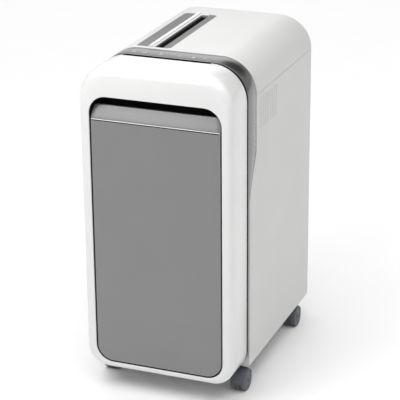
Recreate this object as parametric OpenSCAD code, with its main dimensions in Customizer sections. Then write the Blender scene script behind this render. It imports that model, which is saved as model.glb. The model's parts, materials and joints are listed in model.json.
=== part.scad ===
// Office paper shredder: a tall cabinet on four swivel casters with a pull-out bin.
// Origin: floor level, under the middle of the cabinet. +Z up, the bin opens towards -Y.

/* [Cabinet] */
// Overall width of the cabinet
body_w = 294; // [270:1:360]
// Overall depth of the cabinet, bezel to rear panel
body_d = 456; // [440:1:560]
// Height of the top surface above the floor
body_h = 640; // [600:1:780]
// Clear height between the floor and the underside of the cabinet
ground_gap = 44; // [40:1:60]
// Wall thickness of the moulded shells
wall = 2.6; // [2:0.1:4]
// Gap left at the joints between shells
joint_gap = 0.6; // [0.3:0.1:1.2]
// Radius of the shoulders along the top
top_r = 66; // [40:1:90]
// Radius of the edge where the top meets the rear
rear_top_r = 28; // [10:1:40]
// Radius of the edge where the underside meets the rear
rear_bottom_r = 40; // [20:1:60]
// Radius of the upright rear corners
rear_side_r = 14; // [8:1:20]
// Radius along the lower edges of the sides
foot_r = 6; // [4:1:10]
// Depth of the top cover below the top surface
cover_drop = 67; // [60:1:90]

/* [Front bezel] */
// Depth of the bezel, front to back
bezel_d = 76; // [60:1:90]
// Wall thickness of the bezel
bezel_wall = 3; // [2:0.1:4]
// Radius that rolls the bezel's front into its top
bezel_top_roll = 26; // [12:1:30]
// Radius that rolls the bezel's front into its sides
bezel_side_roll = 12; // [8:1:18]
// Radius of the bezel's lower corners
bezel_bottom_r = 42; // [36:1:60]
// Width of the dark groove behind the bezel
groove_w = 5; // [1:0.1:8]

/* [Trim band] */
// Width of the trim band over the top
band_w = 45.4; // [36:0.1:60]
// Width of the strip that runs down each side
strip_w = 10.4; // [8:0.1:20]
// Distance from the top down to where the band starts to narrow
band_wide_h = 176; // [120:1:220]
// Height over which the band narrows to the strip
band_sweep_h = 88; // [50:1:130]
// How the band narrows: 1 is a straight taper, more hugs the strip
sweep_power = 1.35; // [1:0.05:3]
// Thickness of the trim band
band_wall = 2.2; // [1.5:0.1:3]

/* [Bin] */
// Half width of the bezel's bin opening
bin_opening_half = 127; // [110:1:132]
// Height of the opening's lower edge above the cabinet's underside
bin_opening_low = 13; // [10:1:20]
// Distance from the top surface down to the opening's upper edge
bin_opening_drop = 59; // [50:1:80]
// Radius of the opening's upper corners
bin_opening_top_r = 34; // [20:1:45]
// Radius of the opening's lower corners
bin_opening_bottom_r = 33; // [20:1:45]
// Gap all round the bin front
bin_gap = 1.4; // [0.8:0.1:3]
// How far the bin front sits back from the bezel
bin_setback = 1.5; // [0.5:0.1:4]
// Height of the sloping handle lip
lip_h = 25; // [20:1:36]
// Depth of the sloping handle lip
lip_d = 13; // [10:1:24]
// Clear height between the handle lip and the opening's upper edge
finger_gap = 19; // [14:1:30]
// Wall thickness of the bin
bin_wall = 2.5; // [1.5:0.1:4]
// Half width of the bin tub
tub_half = 118; // [90:1:121]
// Gap between the bin tub's rim and the mechanism deck
tub_deck_gap = 14; // [6:1:30]
// Radius of the bin tub's lower edges
tub_bottom_r = 26; // [20:1:40]
// Depth of the finger pocket behind the handle lip
pocket_d = 34; // [28:1:45]

/* [Paper entry] */
// Position of the paper slot across the cabinet
slot_x = -47; // [-60:1:-30]
// Length of the paper slot
slot_len = 230; // [180:1:240]
// Width of the slot's mouth
slot_mouth = 14; // [10:1:18]
// Width of the slot where the paper meets the cutters
slot_throat = 6; // [5:0.5:8]
// Distance from the trim band to the slot's front end
slot_front = 14; // [12:1:20]
// Width of the throat plate left of the slot's centre line
plate_left = 45; // [40:0.5:56]
// Width of the throat plate right of the slot's centre line
plate_right = 22.5; // [16:0.5:30]
// Corner radius of the throat plate
plate_r = 7; // [3:0.5:10]
// Width of the raised paper guide
guide_w = 15; // [10:0.5:20]
// Height of the raised paper guide
guide_h = 5; // [3:0.5:8]

/* [Cutters] */
// Height of the cutter shafts above the deck
cutter_rise = 65; // [55:1:75]
// Distance between the two cutter shafts
cutter_pitch = 36; // [36:1:36]
// Outer radius of a cutter disc
disc_r = 21.5; // [19.5:0.1:22]
// Thickness of a cutter disc
disc_t = 3.4; // [2.5:0.1:3.6]
// Distance between neighbouring discs on a shaft
disc_pitch = 7.6; // [7.4:0.1:10]
// Radius of the shaft between the discs
core_r = 13; // [10:0.5:13.5]
// Radius of the shaft's journals
journal_r = 8; // [6:0.5:9]
// Thickness of the steel end plates
plate_t = 3; // [2:0.5:5]

/* [Drive] */
// Radius of the motor's can
motor_r = 36; // [28:1:40]
// Length of the motor's can
motor_len = 108; // [80:1:120]
// Radius of the motor's shaft
motor_shaft_r = 4; // [3:0.5:5]
// Face width of the gears
gear_w = 10; // [8:0.5:12]

/* [Casters] */
// Radius of a caster wheel
wheel_r = 20; // [16:1:22]
// Width of one wheel of a twin-wheel caster
wheel_w = 11; // [8:0.5:13]
// Distance from the swivel axis to the wheel axle
caster_trail = 16; // [10:1:20]
// Radius of the caster's stem
stem_r = 4; // [3:0.5:5]
// Distance from the swivel axis to the cabinet's side
caster_inset = 16; // [14:1:24]
// Gap between the corner gussets and the front caster bosses
caster_front = 1; // [0.5:0.5:30]
// Gap between the tray's rear edge and the rear caster bosses
caster_rear = 5; // [1:0.5:40]

/* [Rear fittings] */
// Distance from the cabinet's right side to the power inlet's centre
inlet_side = 47; // [40:1:70]
// Distance between the inlet and the rocker switch
switch_step = 40; // [36:1:60]
// Height of the inlet and the switch above the deck
inlet_rise = 32; // [20:1:60]
// Number of ventilation slots in the rear panel
rear_vents = 9; // [4:1:12]

/* [Fits] */
// Radial clearance of a running fit
run_fit = 0.06; // [0.02:0.01:0.1]
// Radial play of the stems in their sockets
stem_fit = 0.06; // [0.02:0.01:0.1]
// Gap between bodies that move past each other
move_gap = 0.5; // [0.4:0.1:1]

/* [Hidden] */
$fn = 48;

// Colours
c_white = [0.93, 0.93, 0.92];
c_satin = [0.72, 0.73, 0.74];
c_grey = [0.56, 0.56, 0.56];
c_dark = [0.25, 0.26, 0.27];
c_black = [0.08, 0.08, 0.09];
c_steel = [0.62, 0.64, 0.66];
c_zinc = [0.75, 0.76, 0.74];
c_slate = [0.30, 0.32, 0.36];
c_board = [0.10, 0.32, 0.20];
c_nylon = [0.85, 0.83, 0.76];
c_brass = [0.78, 0.62, 0.30];

// Main planes
half_w = body_w / 2;
half_d = body_d / 2;
front_y = -half_d;
rear_y = half_d;
bezel_back = front_y + bezel_d;
band_front = bezel_back + groove_w;
band_back = band_front + band_w;
strip_back = band_front + strip_w;
sweep_top = body_h - band_wide_h;
sweep_low = sweep_top - band_sweep_h;
seam_z = body_h - cover_drop;
panel_x = half_w - rear_side_r - 1;
slack = 1;

// Bin opening and handle
opening_z0 = ground_gap + bin_opening_low;
opening_z1 = body_h - bin_opening_drop;
bin_face_y = front_y + bin_setback;
bin_shell = 3;
lip_top_z = opening_z1 - finger_gap;
lip_z = lip_top_z - lip_h;
lip_back = bin_face_y + lip_d + 4.5;
pocket_y1 = lip_back + pocket_d;
pocket_z0 = lip_z - 4;
pocket_wall = 2.4;

// Frame, deck and bin tub
tray_t = 4;
tray_z = ground_gap + tray_t;
tray_half = half_w - 7.5;
tray_y0 = strip_back + 4;
tray_y1 = rear_y - rear_bottom_r - joint_gap;
frame_t = 1.5;
frame_x = half_w - wall - 2;
frame_flange = 13;
deck_t = 2;
deck_z = lip_z - 68;
deck_top = deck_z + deck_t;
deck_y0 = band_back - 26;
deck_y1 = rear_y - 26;
runner_h = 15.5;
tub_z0 = tray_z + runner_h + move_gap;
tub_z1 = deck_z - frame_t - tub_deck_gap;
tub_front = lip_back + 3.5;
tub_back = rear_y - 33;

// Paper entry and cutters
slot_y0 = band_back + slot_front;
slot_y1 = slot_y0 + slot_len;
slot_mid = (slot_y0 + slot_y1) / 2;
shaft_z = deck_top + cutter_rise;
plates_gap = slot_len + 4;
plate_in0 = slot_mid - plates_gap / 2;
plate_in1 = slot_mid + plates_gap / 2;
cutter_left_x = slot_x - cutter_pitch / 2;
cutter_right_x = slot_x + cutter_pitch / 2;
disc_count = floor((plates_gap - 2 * disc_t) / disc_pitch);
disc_first = slot_mid - disc_count * disc_pitch / 2;
plate_rise = 118;
plate_left_x = cutter_left_x - disc_r - 18;
plate_right_x = cutter_right_x + disc_r + 22;
bush_r = 11;
bush_flange_r = 13.5;
bush_flange_t = 2;
rod_r = 4;
rod_in = 8;

// Gears: teeth, module, and the plane of each stage
sync_n = 18;
sync_m = cutter_pitch / sync_n;
drive_n = 36;
small_n = 18;
drive_m = 1.5;
big_n = 54;
pinion_n = 18;
motor_m = 1.25;
idler_dist = (drive_n + small_n) * drive_m / 2;
motor_dist = (big_n + pinion_n) * motor_m / 2;
idler_angle = -20;
motor_angle = 15;
idler_x = cutter_right_x + idler_dist * cos(idler_angle);
idler_z = shaft_z + idler_dist * sin(idler_angle);
motor_x = idler_x + motor_dist * cos(motor_angle);
motor_z = idler_z + motor_dist * sin(motor_angle);
stage_gap = 2;
stage1_y = plate_in1 + plate_t + bush_flange_t + 1;
stage2_y = stage1_y + gear_w + stage_gap;
stage3_y = stage2_y + gear_w + stage_gap;
motor_y1 = plate_in1;
motor_y0 = motor_y1 - motor_len;
fan_t = 14;
fan_r = 29;
idler_pin_r = 5;

// Casters
caster_x = half_w - caster_inset;
socket_r = 6;
boss_r = socket_r + 2.4;
caster_front_y = strip_back + joint_gap + wall + boss_r + caster_front;
caster_rear_y = tray_y1 - boss_r - caster_rear;
socket_flange_r = 8;
socket_flange_t = 1.4;
stem_top = ground_gap + 20;
fork_web = 7;
fork_top = ground_gap - socket_flange_t - 0.6;
axle_r = 3;

// Rear fittings
inlet_x = half_w - inlet_side;
switch_x = inlet_x - switch_step;
inlet_z = deck_top + inlet_rise;
fitting_lip = 1.6;
fitting_flange = 3;
inlet_size = [28, 20];
switch_size = [15, 21];
rocker_pin_r = 1.2;
rocker_tilt_room = 1.2;

// ---------------------------------------------------------------- helpers

// Plate outline with its own radius at each corner: lower left, lower right, upper right, upper left
module corner_plate(x0, x1, y0, y1, r) {
    polygon(concat(
        r[0] > 0 ? [[x0, y0 + r[0]], [x0 + r[0], y0]] : [[x0, y0]],
        r[1] > 0 ? [[x1 - r[1], y0], [x1, y0 + r[1]]] : [[x1, y0]],
        r[2] > 0 ? [[x1, y1 - r[2]], [x1 - r[2], y1]] : [[x1, y1]],
        r[3] > 0 ? [[x0 + r[3], y1], [x0, y1 - r[3]]] : [[x0, y1]]
    ));
    if (r[0] > 0) translate([x0 + r[0], y0 + r[0]]) circle(r[0]);
    if (r[1] > 0) translate([x1 - r[1], y0 + r[1]]) circle(r[1]);
    if (r[2] > 0) translate([x1 - r[2], y1 - r[2]]) circle(r[2]);
    if (r[3] > 0) translate([x0 + r[3], y1 - r[3]]) circle(r[3]);
}

// Extrudes an X-Z outline along Y, from y0 to y1
module along_y(y0, y1) {
    translate([0, y1, 0]) rotate([90, 0, 0]) linear_extrude(y1 - y0) children();
}

// Extrudes a Y-Z outline along X, from x0 to x1
module along_x(x0, x1) {
    translate([x0, 0, 0]) rotate([90, 0, 90]) linear_extrude(x1 - x0) children();
}

// Box between two corners
module block(p0, p1) {
    translate(p0) cube(p1 - p0);
}

// Round bar along Y
module bar_y(x, z, r, y0, y1) {
    translate([x, y1, z]) rotate([90, 0, 0]) cylinder(r = r, h = y1 - y0);
}

// Round bar along X
module bar_x(y, z, r, x0, x1) {
    translate([x0, y, z]) rotate([0, 90, 0]) cylinder(r = r, h = x1 - x0);
}

// Involute tooth half-width, in degrees, at radius r of a gear with pitch radius rp and n teeth
pressure = 20;
backlash_deg = 0.9;
function involute(a) = tan(a) * 180 / PI - a;
function tooth_half(n, rp, r) = 90 / n - backlash_deg * 9 / n + involute(pressure)
    - involute(acos(min(1, rp * cos(pressure) / r)));
function polar(r, a) = [r * cos(a), r * sin(a)];

// Outline of a spur gear with a tooth centred on angle 0
module gear_outline(n, m) {
    rp = n * m / 2;
    tip = rp + 0.9 * m;
    root = rp - 1.15 * m;
    polygon([for (i = [0 : n - 1], s = [-1, 1], k = [0 : 2])
        let (r = s < 0 ? [root, rp, tip][k] : [tip, rp, root][k],
             a = tooth_half(n, rp, max(r, rp * cos(pressure))))
        polar(r, i * 360 / n + s * a)]);
}

// Spur gear around the Y axis at x, z. turn sets the tooth phase, seen towards +Y
module gear_y(x, z, n, m, y0, w, turn) {
    translate([x, y0 + w, z]) rotate([90, 0, 0]) linear_extrude(w) rotate(turn) gear_outline(n, m);
}

// Pan-head screw along Z with the underside of its head at z = 0
module screw_shape(r, len, head_r, head_h) {
    translate([0, 0, -len]) cylinder(r = r, h = len);
    difference() {
        cylinder(r = head_r, h = head_h);
        // Cross recess
        for (cross = [[1.3, 0.3], [0.3, 1.3]])
            translate([0, 0, head_h / 2]) linear_extrude(head_h) square(head_r * cross, center = true);
    }
}

// ---------------------------------------------------------------- cabinet shells

// Solid of the cabinet behind the trim band, shrunk by inset, from y0 to the rear
module body_block(inset, y0) {
    z0 = ground_gap + inset;
    z1 = body_h - inset;
    x1 = half_w - inset;
    y1 = rear_y - inset;
    intersection() {
        along_y(y0, y1)
            corner_plate(-x1, x1, z0, z1, [foot_r - inset, foot_r - inset, top_r - inset, top_r - inset]);
        along_x(-half_w, half_w)
            corner_plate(y0 - slack, y1, z0, z1, [0, rear_bottom_r - inset, rear_top_r - inset, 0]);
        translate([0, 0, z0])
            linear_extrude(z1 - z0)
                corner_plate(-x1, x1, y0 - slack, y1, [0, 0, rear_side_r - inset, rear_side_r - inset]);
    }
}

module body_shell(y0) {
    difference() {
        body_block(0, y0);
        body_block(wall, y0 - slack);
    }
}

// Depth of the trim band's rear edge at height z
function sweep_y(z) = z >= sweep_top ? band_back : z <= sweep_low ? strip_back
    : strip_back + (band_back - strip_back) * pow((z - sweep_low) / (sweep_top - sweep_low), sweep_power);
sweep_steps = 12;
sweep_points = [for (i = [0 : sweep_steps])
    let (z = sweep_low + (sweep_top - sweep_low) * i / sweep_steps) [sweep_y(z), z]];

module top_cover() {
    color(c_white) difference() {
        intersection() {
            body_shell(band_back + joint_gap);
            block([-half_w, band_back, seam_z + joint_gap / 2], [half_w, rear_y, body_h]);
        }
        translate([0, 0, body_h - 3 * wall]) linear_extrude(4 * wall) throat_plate_outline(0.3);
    }
}

// Right-hand side panel, mirrored for the left
module side_panel() {
    difference() {
        union() {
            intersection() {
                union() {
                    body_shell(strip_back + joint_gap);
                    corner_gusset();
                }
                along_x(panel_x + joint_gap / 2, half_w) polygon(concat(
                    [[rear_y, ground_gap]],
                    [for (y = [rear_y, band_back + joint_gap]) [y, seam_z - joint_gap / 2]],
                    [for (i = [sweep_steps : -1 : 0]) sweep_points[i] + [joint_gap, 0]],
                    [[strip_back + joint_gap, ground_gap]]
                ));
            }
            // Lip behind the rear panel, for its screws
            block([panel_x - rear_lip_w, rear_y - wall - rear_lip_t, ground_gap + rear_bottom_r],
                  [panel_x + 3, rear_y - wall, seam_z - joint_gap / 2]);
        }
        each_case_screw() cylinder(r = case_screw_r, h = 30, center = true);
        // Room for the base tray
        block([0, front_y, ground_gap - slack],
              [tray_half + joint_gap, tray_y1 + joint_gap, tray_z + joint_gap]);
        louvres();
    }
}

rear_lip_w = 16;
rear_lip_t = 2.4;

// Closes the lower front corner of a side panel behind the rounded bezel
gusset_show = 5;
module corner_gusset() {
    y0 = strip_back + joint_gap;
    difference() {
        intersection() {
            body_block(0, y0);
            block([half_w - bezel_bottom_r, y0, ground_gap],
                  [half_w, y0 + wall, ground_gap + bezel_bottom_r]);
        }
        bar_y(half_w - bezel_bottom_r, ground_gap + bezel_bottom_r, bezel_bottom_r - gusset_show,
              y0 - slack, y0 + wall + slack);
    }
}

// Upright grooves near the upper front of a side panel
louvre_count = 10;
louvre_pitch = 10;
louvre_h = 60;
louvre_w = 2.4;
louvre_depth = 1.2;
louvre_top = seam_z - 10;
louvre_y0 = band_back + 16;
module louvres() {
    for (i = [0 : louvre_count - 1])
        block([half_w - louvre_depth, louvre_y0 + i * louvre_pitch, louvre_top - louvre_h],
              [half_w + slack, louvre_y0 + i * louvre_pitch + louvre_w, louvre_top]);
}

module side_panel_right() {
    color(c_white) side_panel();
}

module side_panel_left() {
    color(c_white) mirror([1, 0, 0]) side_panel();
}

module rear_panel() {
    vent_z0 = ground_gap + 120;
    vent_step = 12;
    vent_half = 70;
    vent_h = 4;
    color(c_white) difference() {
        intersection() {
            body_shell(tray_y1 - 4);
            block([-panel_x + joint_gap / 2, tray_y1 + joint_gap, ground_gap],
                  [panel_x - joint_gap / 2, rear_y, seam_z - joint_gap / 2]);
        }
        for (i = [0 : rear_vents - 1])
            block([-vent_half, rear_y - wall - slack, vent_z0 + i * vent_step],
                  [vent_half, rear_y + slack, vent_z0 + i * vent_step + vent_h]);
        each_case_screw() {
            cylinder(r = case_screw_r, h = 2 * (wall + slack), center = true);
            cylinder(r = case_head_r + 0.3, h = case_head_h + slack);
        }
        rear_cutout(inlet_x, inlet_size);
        rear_cutout(switch_x, switch_size);
    }
}

// Rectangular hole in the rear panel, sunk for the flange of the fitting
module rear_cutout(x, size) {
    w = size[0] / 2;
    h = size[1] / 2;
    f = fitting_flange;
    block([x - w, rear_y - wall - slack, inlet_z - h], [x + w, rear_y + slack, inlet_z + h]);
    block([x - w - f, rear_y - fitting_lip, inlet_z - h - f], [x + w + f, rear_y + slack, inlet_z + h + f]);
}

module base_tray() {
    rib = 2;
    color(c_white) difference() {
        union() {
            block([-tray_half, tray_y0, ground_gap], [tray_half, tray_y1, tray_z]);
            // Bosses for the caster sockets
            each_caster() translate([0, 0, ground_gap]) cylinder(r = boss_r, h = stem_top - ground_gap + 1);
            // Stiffening ribs between the runners
            for (y = [tray_y0 + 40 : 60 : tray_y1 - 20])
                block([-runner_x0 + 2, y, tray_z], [runner_x0 - 2, y + rib, tray_z + 8]);
        }
        each_caster() translate([0, 0, ground_gap - slack])
            cylinder(r = socket_r, h = stem_top + slack - ground_gap);
    }
}

// ---------------------------------------------------------------- front bezel, trim band and touch strip

// Solid of the bezel, shrunk by inset, open towards the rear
module bezel_block(inset, y1) {
    z0 = ground_gap + inset;
    z1 = body_h - inset;
    x1 = half_w - inset;
    y0 = front_y + inset;
    intersection() {
        along_y(y0, y1)
            corner_plate(-x1, x1, z0, z1,
                [bezel_bottom_r - inset, bezel_bottom_r - inset, top_r - inset, top_r - inset]);
        along_x(-half_w, half_w)
            corner_plate(y0, y1 + slack, z0, z1, [bezel_side_roll - inset, 0, 0, bezel_top_roll - inset]);
        translate([0, 0, z0])
            linear_extrude(z1 - z0)
                corner_plate(-x1, x1, y0, y1 + slack,
                    [bezel_side_roll - inset, bezel_side_roll - inset, 0, 0]);
    }
}

// Outline of the bin opening, shrunk by inset
module opening_outline(inset) {
    x1 = bin_opening_half - inset;
    corner_plate(-x1, x1, opening_z0 + inset, opening_z1 - inset,
        [bin_opening_bottom_r - inset, bin_opening_bottom_r - inset,
         bin_opening_top_r - inset, bin_opening_top_r - inset]);
}

// Dark slit in the top, between the bezel and the band, that holds the status lens
slit_x0 = -90;
slit_x1 = 80;
slit_d = 6.5;
slit_depth = 5;

module front_bezel() {
    color(c_white) {
        difference() {
            bezel_block(0, bezel_back);
            bezel_block(bezel_wall, bezel_back + slack);
            along_y(front_y - slack, front_y + bezel_wall + slack) opening_outline(0);
            block([slit_x0, bezel_back - slit_d, body_h - slit_depth],
                  [slit_x1, bezel_back + slack, body_h + slack]);
        }
        handle_pocket();
    }
}

// Finger pocket behind the handle lip: roof, back wall, floor and two ends
module handle_pocket() {
    x1 = bin_opening_half + 1;
    z1 = opening_z1 + 1;
    y0 = front_y + bezel_wall;
    y1 = pocket_y1;
    t = pocket_wall;
    floor_y = lip_back + 6;
    along_x(-x1 - t, x1 + t) polygon([
        [y0, z1], [y1 - t, z1], [y1 - t, pocket_z0], [floor_y, pocket_z0], [floor_y, pocket_z0 - t],
        [y1, pocket_z0 - t], [y1, z1 + t], [y0, z1 + t]
    ]);
    for (s = [-1, 1])
        block([s * (x1 + t / 2) - t / 2, y0, pocket_z0 - t], [s * (x1 + t / 2) + t / 2, y1, z1 + t]);
}

// Dark ring that closes the bottom of the groove and carries the trim band
groove_ring_t = 3;
groove_ring_fit = 0.2;
module groove_ring() {
    y0 = bezel_back + 0.3;
    y1 = band_front + 1.5;
    outer = band_wall + groove_ring_fit;
    color(c_black) difference() {
        along_y(y0, y1) band_outline(outer);
        along_y(y0 - slack, y1 + slack) band_outline(outer + groove_ring_t);
    }
}

// Outline of the cabinet behind the bezel, shrunk by inset
module band_outline(inset) {
    corner_plate(-half_w + inset, half_w - inset, ground_gap + inset, body_h - inset,
        [bezel_bottom_r - inset, bezel_bottom_r - inset, top_r - inset, top_r - inset]);
}

module trim_band() {
    color(c_satin) difference() {
        intersection() {
            along_y(band_front, band_back) band_outline(0);
            along_x(-half_w - slack, half_w + slack) polygon(concat(
                [[band_front - slack, ground_gap - slack], [strip_back, ground_gap - slack]],
                sweep_points,
                [[band_back, body_h + slack], [band_front - slack, body_h + slack]]
            ));
        }
        along_y(band_front - slack, band_back + slack) band_outline(band_wall);
        each_icon() translate([0, 0, body_h - 2 * band_wall]) cylinder(r = icon_r, h = 3 * band_wall);
    }
}

// Six touch symbols along the band
icon_r = 3.4;
icon_x = [-79, -57, -26, 10, 37, 59];
module each_icon() {
    for (x = icon_x) translate([x, band_front + band_w * 0.4, 0]) children();
}

module touch_icons() {
    color(c_nylon) each_icon() translate([0, 0, body_h - band_wall]) cylinder(r = icon_r, h = band_wall);
}

board_t = 1.6;
module touch_board() {
    z1 = body_h - band_wall - 0.4;
    color(c_board) {
        block([icon_x[0] - 6, band_front + 4, z1 - board_t], [icon_x[5] + 9, band_back - 10, z1]);
        block([-12, band_front + 26, z1 - board_t - 4], [2, band_front + 34, z1 - board_t]);
        for (x = icon_x) translate([x, band_front + 30, z1 - board_t - 2]) cylinder(r = 2, h = 2);
    }
}

module status_lens() {
    gap = 0.3;
    color(c_black) block([slit_x0 + gap, bezel_back - slit_d + gap, body_h - slit_depth + gap],
        [slit_x1 - gap, bezel_back, body_h - 1.2]);
}

// ---------------------------------------------------------------- paper entry

// Outline of the throat plate seen from above, grown by extra
module throat_plate_outline(extra) {
    r = plate_r + extra;
    corner_plate(slot_x - plate_left - extra, slot_x + plate_right + extra,
        slot_y0 - 4 - extra, slot_y1 + 10 + extra, [r, r, r, r]);
}

plate_flange_t = 2.2;
plate_sink = 1;
module throat_plate() {
    z1 = body_h - plate_sink;
    z0 = body_h - wall;
    color(c_dark) difference() {
        union() {
            translate([0, 0, z0 - plate_flange_t / 2])
                linear_extrude(z1 - z0 + plate_flange_t / 2) throat_plate_outline(0);
            intersection() {
                translate([0, 0, z0 - plate_flange_t]) linear_extrude(plate_flange_t) throat_plate_outline(4);
                body_block(wall, band_back);
            }
        }
        block([slot_x - slot_mouth / 2, slot_y0, z0 - 3 * wall],
              [slot_x + slot_mouth / 2, slot_y1, body_h + slack]);
    }
}

module paper_guide() {
    x1 = slot_x - slot_mouth / 2;
    x0 = x1 - guide_w;
    z0 = body_h - plate_sink;
    step = 2;
    color(c_white) along_y(slot_y0 - 2, slot_y1 + 8) polygon([
        [x0, z0], [x1 - step, z0], [x1 - step, z0 + guide_h / 2], [x1 - 2 * step, z0 + guide_h],
        [x0 + 2 * step, z0 + guide_h], [x0, z0 + 1]
    ]);
}

chute_half = 10;
chute_z0 = shaft_z + disc_r + 2;
chute_z1 = body_h - wall - plate_flange_t;
chute_neck_z = chute_z1 - 34;
module throat_chute() {
    c = slot_throat / 2;
    m = slot_mouth / 2;
    color(c_black) difference() {
        along_y(slot_y0 - 1.8, slot_y1 + 1.8) polygon([
            [slot_x - c - 4, chute_z0], [slot_x + c + 4, chute_z0],
            [slot_x + chute_half, chute_neck_z], [slot_x + chute_half, chute_z1],
            [slot_x - chute_half, chute_z1], [slot_x - chute_half, chute_neck_z]
        ]);
        along_y(slot_y0, slot_y1) polygon([
            [slot_x - c, chute_z0 - slack], [slot_x + c, chute_z0 - slack], [slot_x + c, chute_neck_z],
            [slot_x + m, chute_z1 + slack], [slot_x - m, chute_z1 + slack], [slot_x - c, chute_neck_z]
        ]);
        // Window for the paper sensor's lever
        block([slot_x, slot_mid - sensor_w / 2 - 1.5, sensor_z - 19],
              [slot_x + chute_half + slack, slot_mid + sensor_w / 2 + 1.5, sensor_z + 4]);
    }
}

// Paper sensor: a sprung lever whose tip lies in the slot
sensor_w = 4;
sensor_x = slot_x + 24;
sensor_z = chute_neck_z + 2;
sensor_pin_r = 1.5;
sensor_cheek = 2;
sensor_pin_half = sensor_w / 2 + 0.8 + sensor_cheek;
module sensor_lever() {
    tip = slot_x - 1;
    color(c_black) {
        bar_y(sensor_x, sensor_z, 3, slot_mid - sensor_w / 2, slot_mid + sensor_w / 2);
        bar_y(sensor_x, sensor_z, sensor_pin_r, slot_mid - sensor_pin_half, slot_mid + sensor_pin_half);
        block([tip, slot_mid - sensor_w / 2, sensor_z - 1],
              [sensor_x, slot_mid + sensor_w / 2, sensor_z + 1]);
    }
}

module sensor_bracket() {
    x0 = slot_x + chute_half;
    x1 = sensor_x + 5;
    y1 = sensor_w / 2 + 0.8;
    color(c_nylon) difference() {
        for (s = [-1, 1])
            block([x0, slot_mid + s * (y1 + sensor_cheek / 2) - sensor_cheek / 2, sensor_z - 6],
                  [x1, slot_mid + s * (y1 + sensor_cheek / 2) + sensor_cheek / 2, sensor_z + 6]);
        bar_y(sensor_x, sensor_z, sensor_pin_r + run_fit, slot_mid - 12, slot_mid + 12);
    }
}

// ---------------------------------------------------------------- inner frame

// Folded steel side frame, right-hand side, mirrored for the left
module side_frame() {
    y0 = tray_y0 + 6;
    y1 = tray_y1 - 4;
    x = frame_x;
    difference() {
        along_y(y0, y1) polygon([
            [x, tray_z], [x, deck_z], [x - frame_flange, deck_z], [x - frame_flange, deck_z - frame_t],
            [x - frame_t, deck_z - frame_t], [x - frame_t, tray_z + frame_t],
            [x - frame_flange, tray_z + frame_t], [x - frame_flange, tray_z]
        ]);
        each_caster() translate([0, 0, tray_z - slack]) cylinder(r = socket_r + 3, h = stem_top);
        // Lightening holes
        for (y = [y0 + 60 : 90 : y1 - 50], z = [tray_z + 100 : 110 : deck_z - 80]) bar_x(y, z, 30, 0, half_w);
    }
}

module frame_right() {
    color(c_zinc) side_frame();
}

module frame_left() {
    color(c_zinc) mirror([1, 0, 0]) side_frame();
}

module deck() {
    color(c_zinc) difference() {
        block([-frame_x, deck_y0, deck_z], [frame_x, deck_y1, deck_top]);
        block([cutter_left_x - disc_r - 4, plate_in0 + 2, deck_z - slack],
              [cutter_right_x + disc_r + 4, plate_in1 - 2, deck_top + slack]);
        each_foot_screw() translate([0, 0, deck_z - slack]) cylinder(r = 2, h = deck_t + 2 * slack);
    }
}

runner_x0 = 74;
runner_w = 12;
module bin_runners() {
    color(c_nylon) for (s = [-1, 1])
        block([s * (runner_x0 + runner_w / 2) - runner_w / 2, tray_y0 + 6, tray_z],
              [s * (runner_x0 + runner_w / 2) + runner_w / 2, tub_back - 8, tray_z + runner_h]);
}

// ---------------------------------------------------------------- cutting mechanism

foot_d = 14;
foot_t = 3;
module each_foot_screw() {
    for (x = [plate_left_x + 10, plate_right_x - 10],
         y = [plate_in0 - plate_t - foot_d / 2, plate_in1 + plate_t + foot_d / 2])
        translate([x, y, 0]) children();
}

// Holes of an end plate: two bushes, four tie rods and the foot screws
module end_plate_holes(y0, y1) {
    for (x = [cutter_left_x, cutter_right_x]) bar_y(x, shaft_z, bush_r, y0 - slack, y1 + slack);
    each_tie_rod(y0 - slack, y1 + slack, rod_r * 0.75);
    each_foot_screw() translate([0, 0, deck_top - slack]) cylinder(r = 2, h = foot_t + 2 * slack);
}

// The four tie rods' centre lines, as bars of radius r
module each_tie_rod(y0, y1, r) {
    for (x = [plate_left_x + rod_in, plate_right_x - rod_in],
         z = [deck_top + 22, deck_top + plate_rise - rod_in])
        bar_y(x, z, r, y0, y1);
}

module cutter_plate_front() {
    y1 = plate_in0;
    y0 = y1 - plate_t;
    color(c_steel) difference() {
        union() {
            block([plate_left_x, y0, deck_top], [plate_right_x, y1, deck_top + plate_rise]);
            block([plate_left_x, y0 - foot_d, deck_top], [plate_right_x, y1, deck_top + foot_t]);
        }
        end_plate_holes(y0, y1);
    }
}

module cutter_plate_rear() {
    y0 = plate_in1;
    y1 = y0 + plate_t;
    x1 = motor_x + motor_r + 4;
    color(c_steel) difference() {
        union() {
            block([plate_left_x, y0, deck_top], [x1, y1, deck_top + plate_rise]);
            block([plate_left_x, y0, deck_top], [x1, y1 + foot_d, deck_top + foot_t]);
        }
        end_plate_holes(y0, y1);
        bar_y(motor_x, motor_z, motor_shaft_r + 4, y0 - slack, y1 + slack);
        bar_y(idler_x, idler_z, idler_pin_r - 1, y0 - slack, y1 + slack);
    }
}

module tie_rods() {
    color(c_steel) {
        each_tie_rod(plate_in0, plate_in1, rod_r);
        each_tie_rod(plate_in0 - plate_t, plate_in1 + plate_t, rod_r * 0.75);
    }
}

module cutter_bearings() {
    color(c_brass) for (x = [cutter_left_x, cutter_right_x], s = [-1, 1]) {
        inner = s < 0 ? plate_in0 : plate_in1;
        a = s < 0 ? inner - plate_t : inner;
        f = s < 0 ? a - bush_flange_t : a + plate_t;
        difference() {
            union() {
                bar_y(x, shaft_z, bush_r, a, a + plate_t);
                bar_y(x, shaft_z, bush_flange_r, f, f + bush_flange_t);
            }
            bar_y(x, shaft_z, journal_r + run_fit, a - 10, a + plate_t + 10);
        }
    }
}

disc_teeth = 9;
disc_root = disc_r - 2.4;
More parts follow.
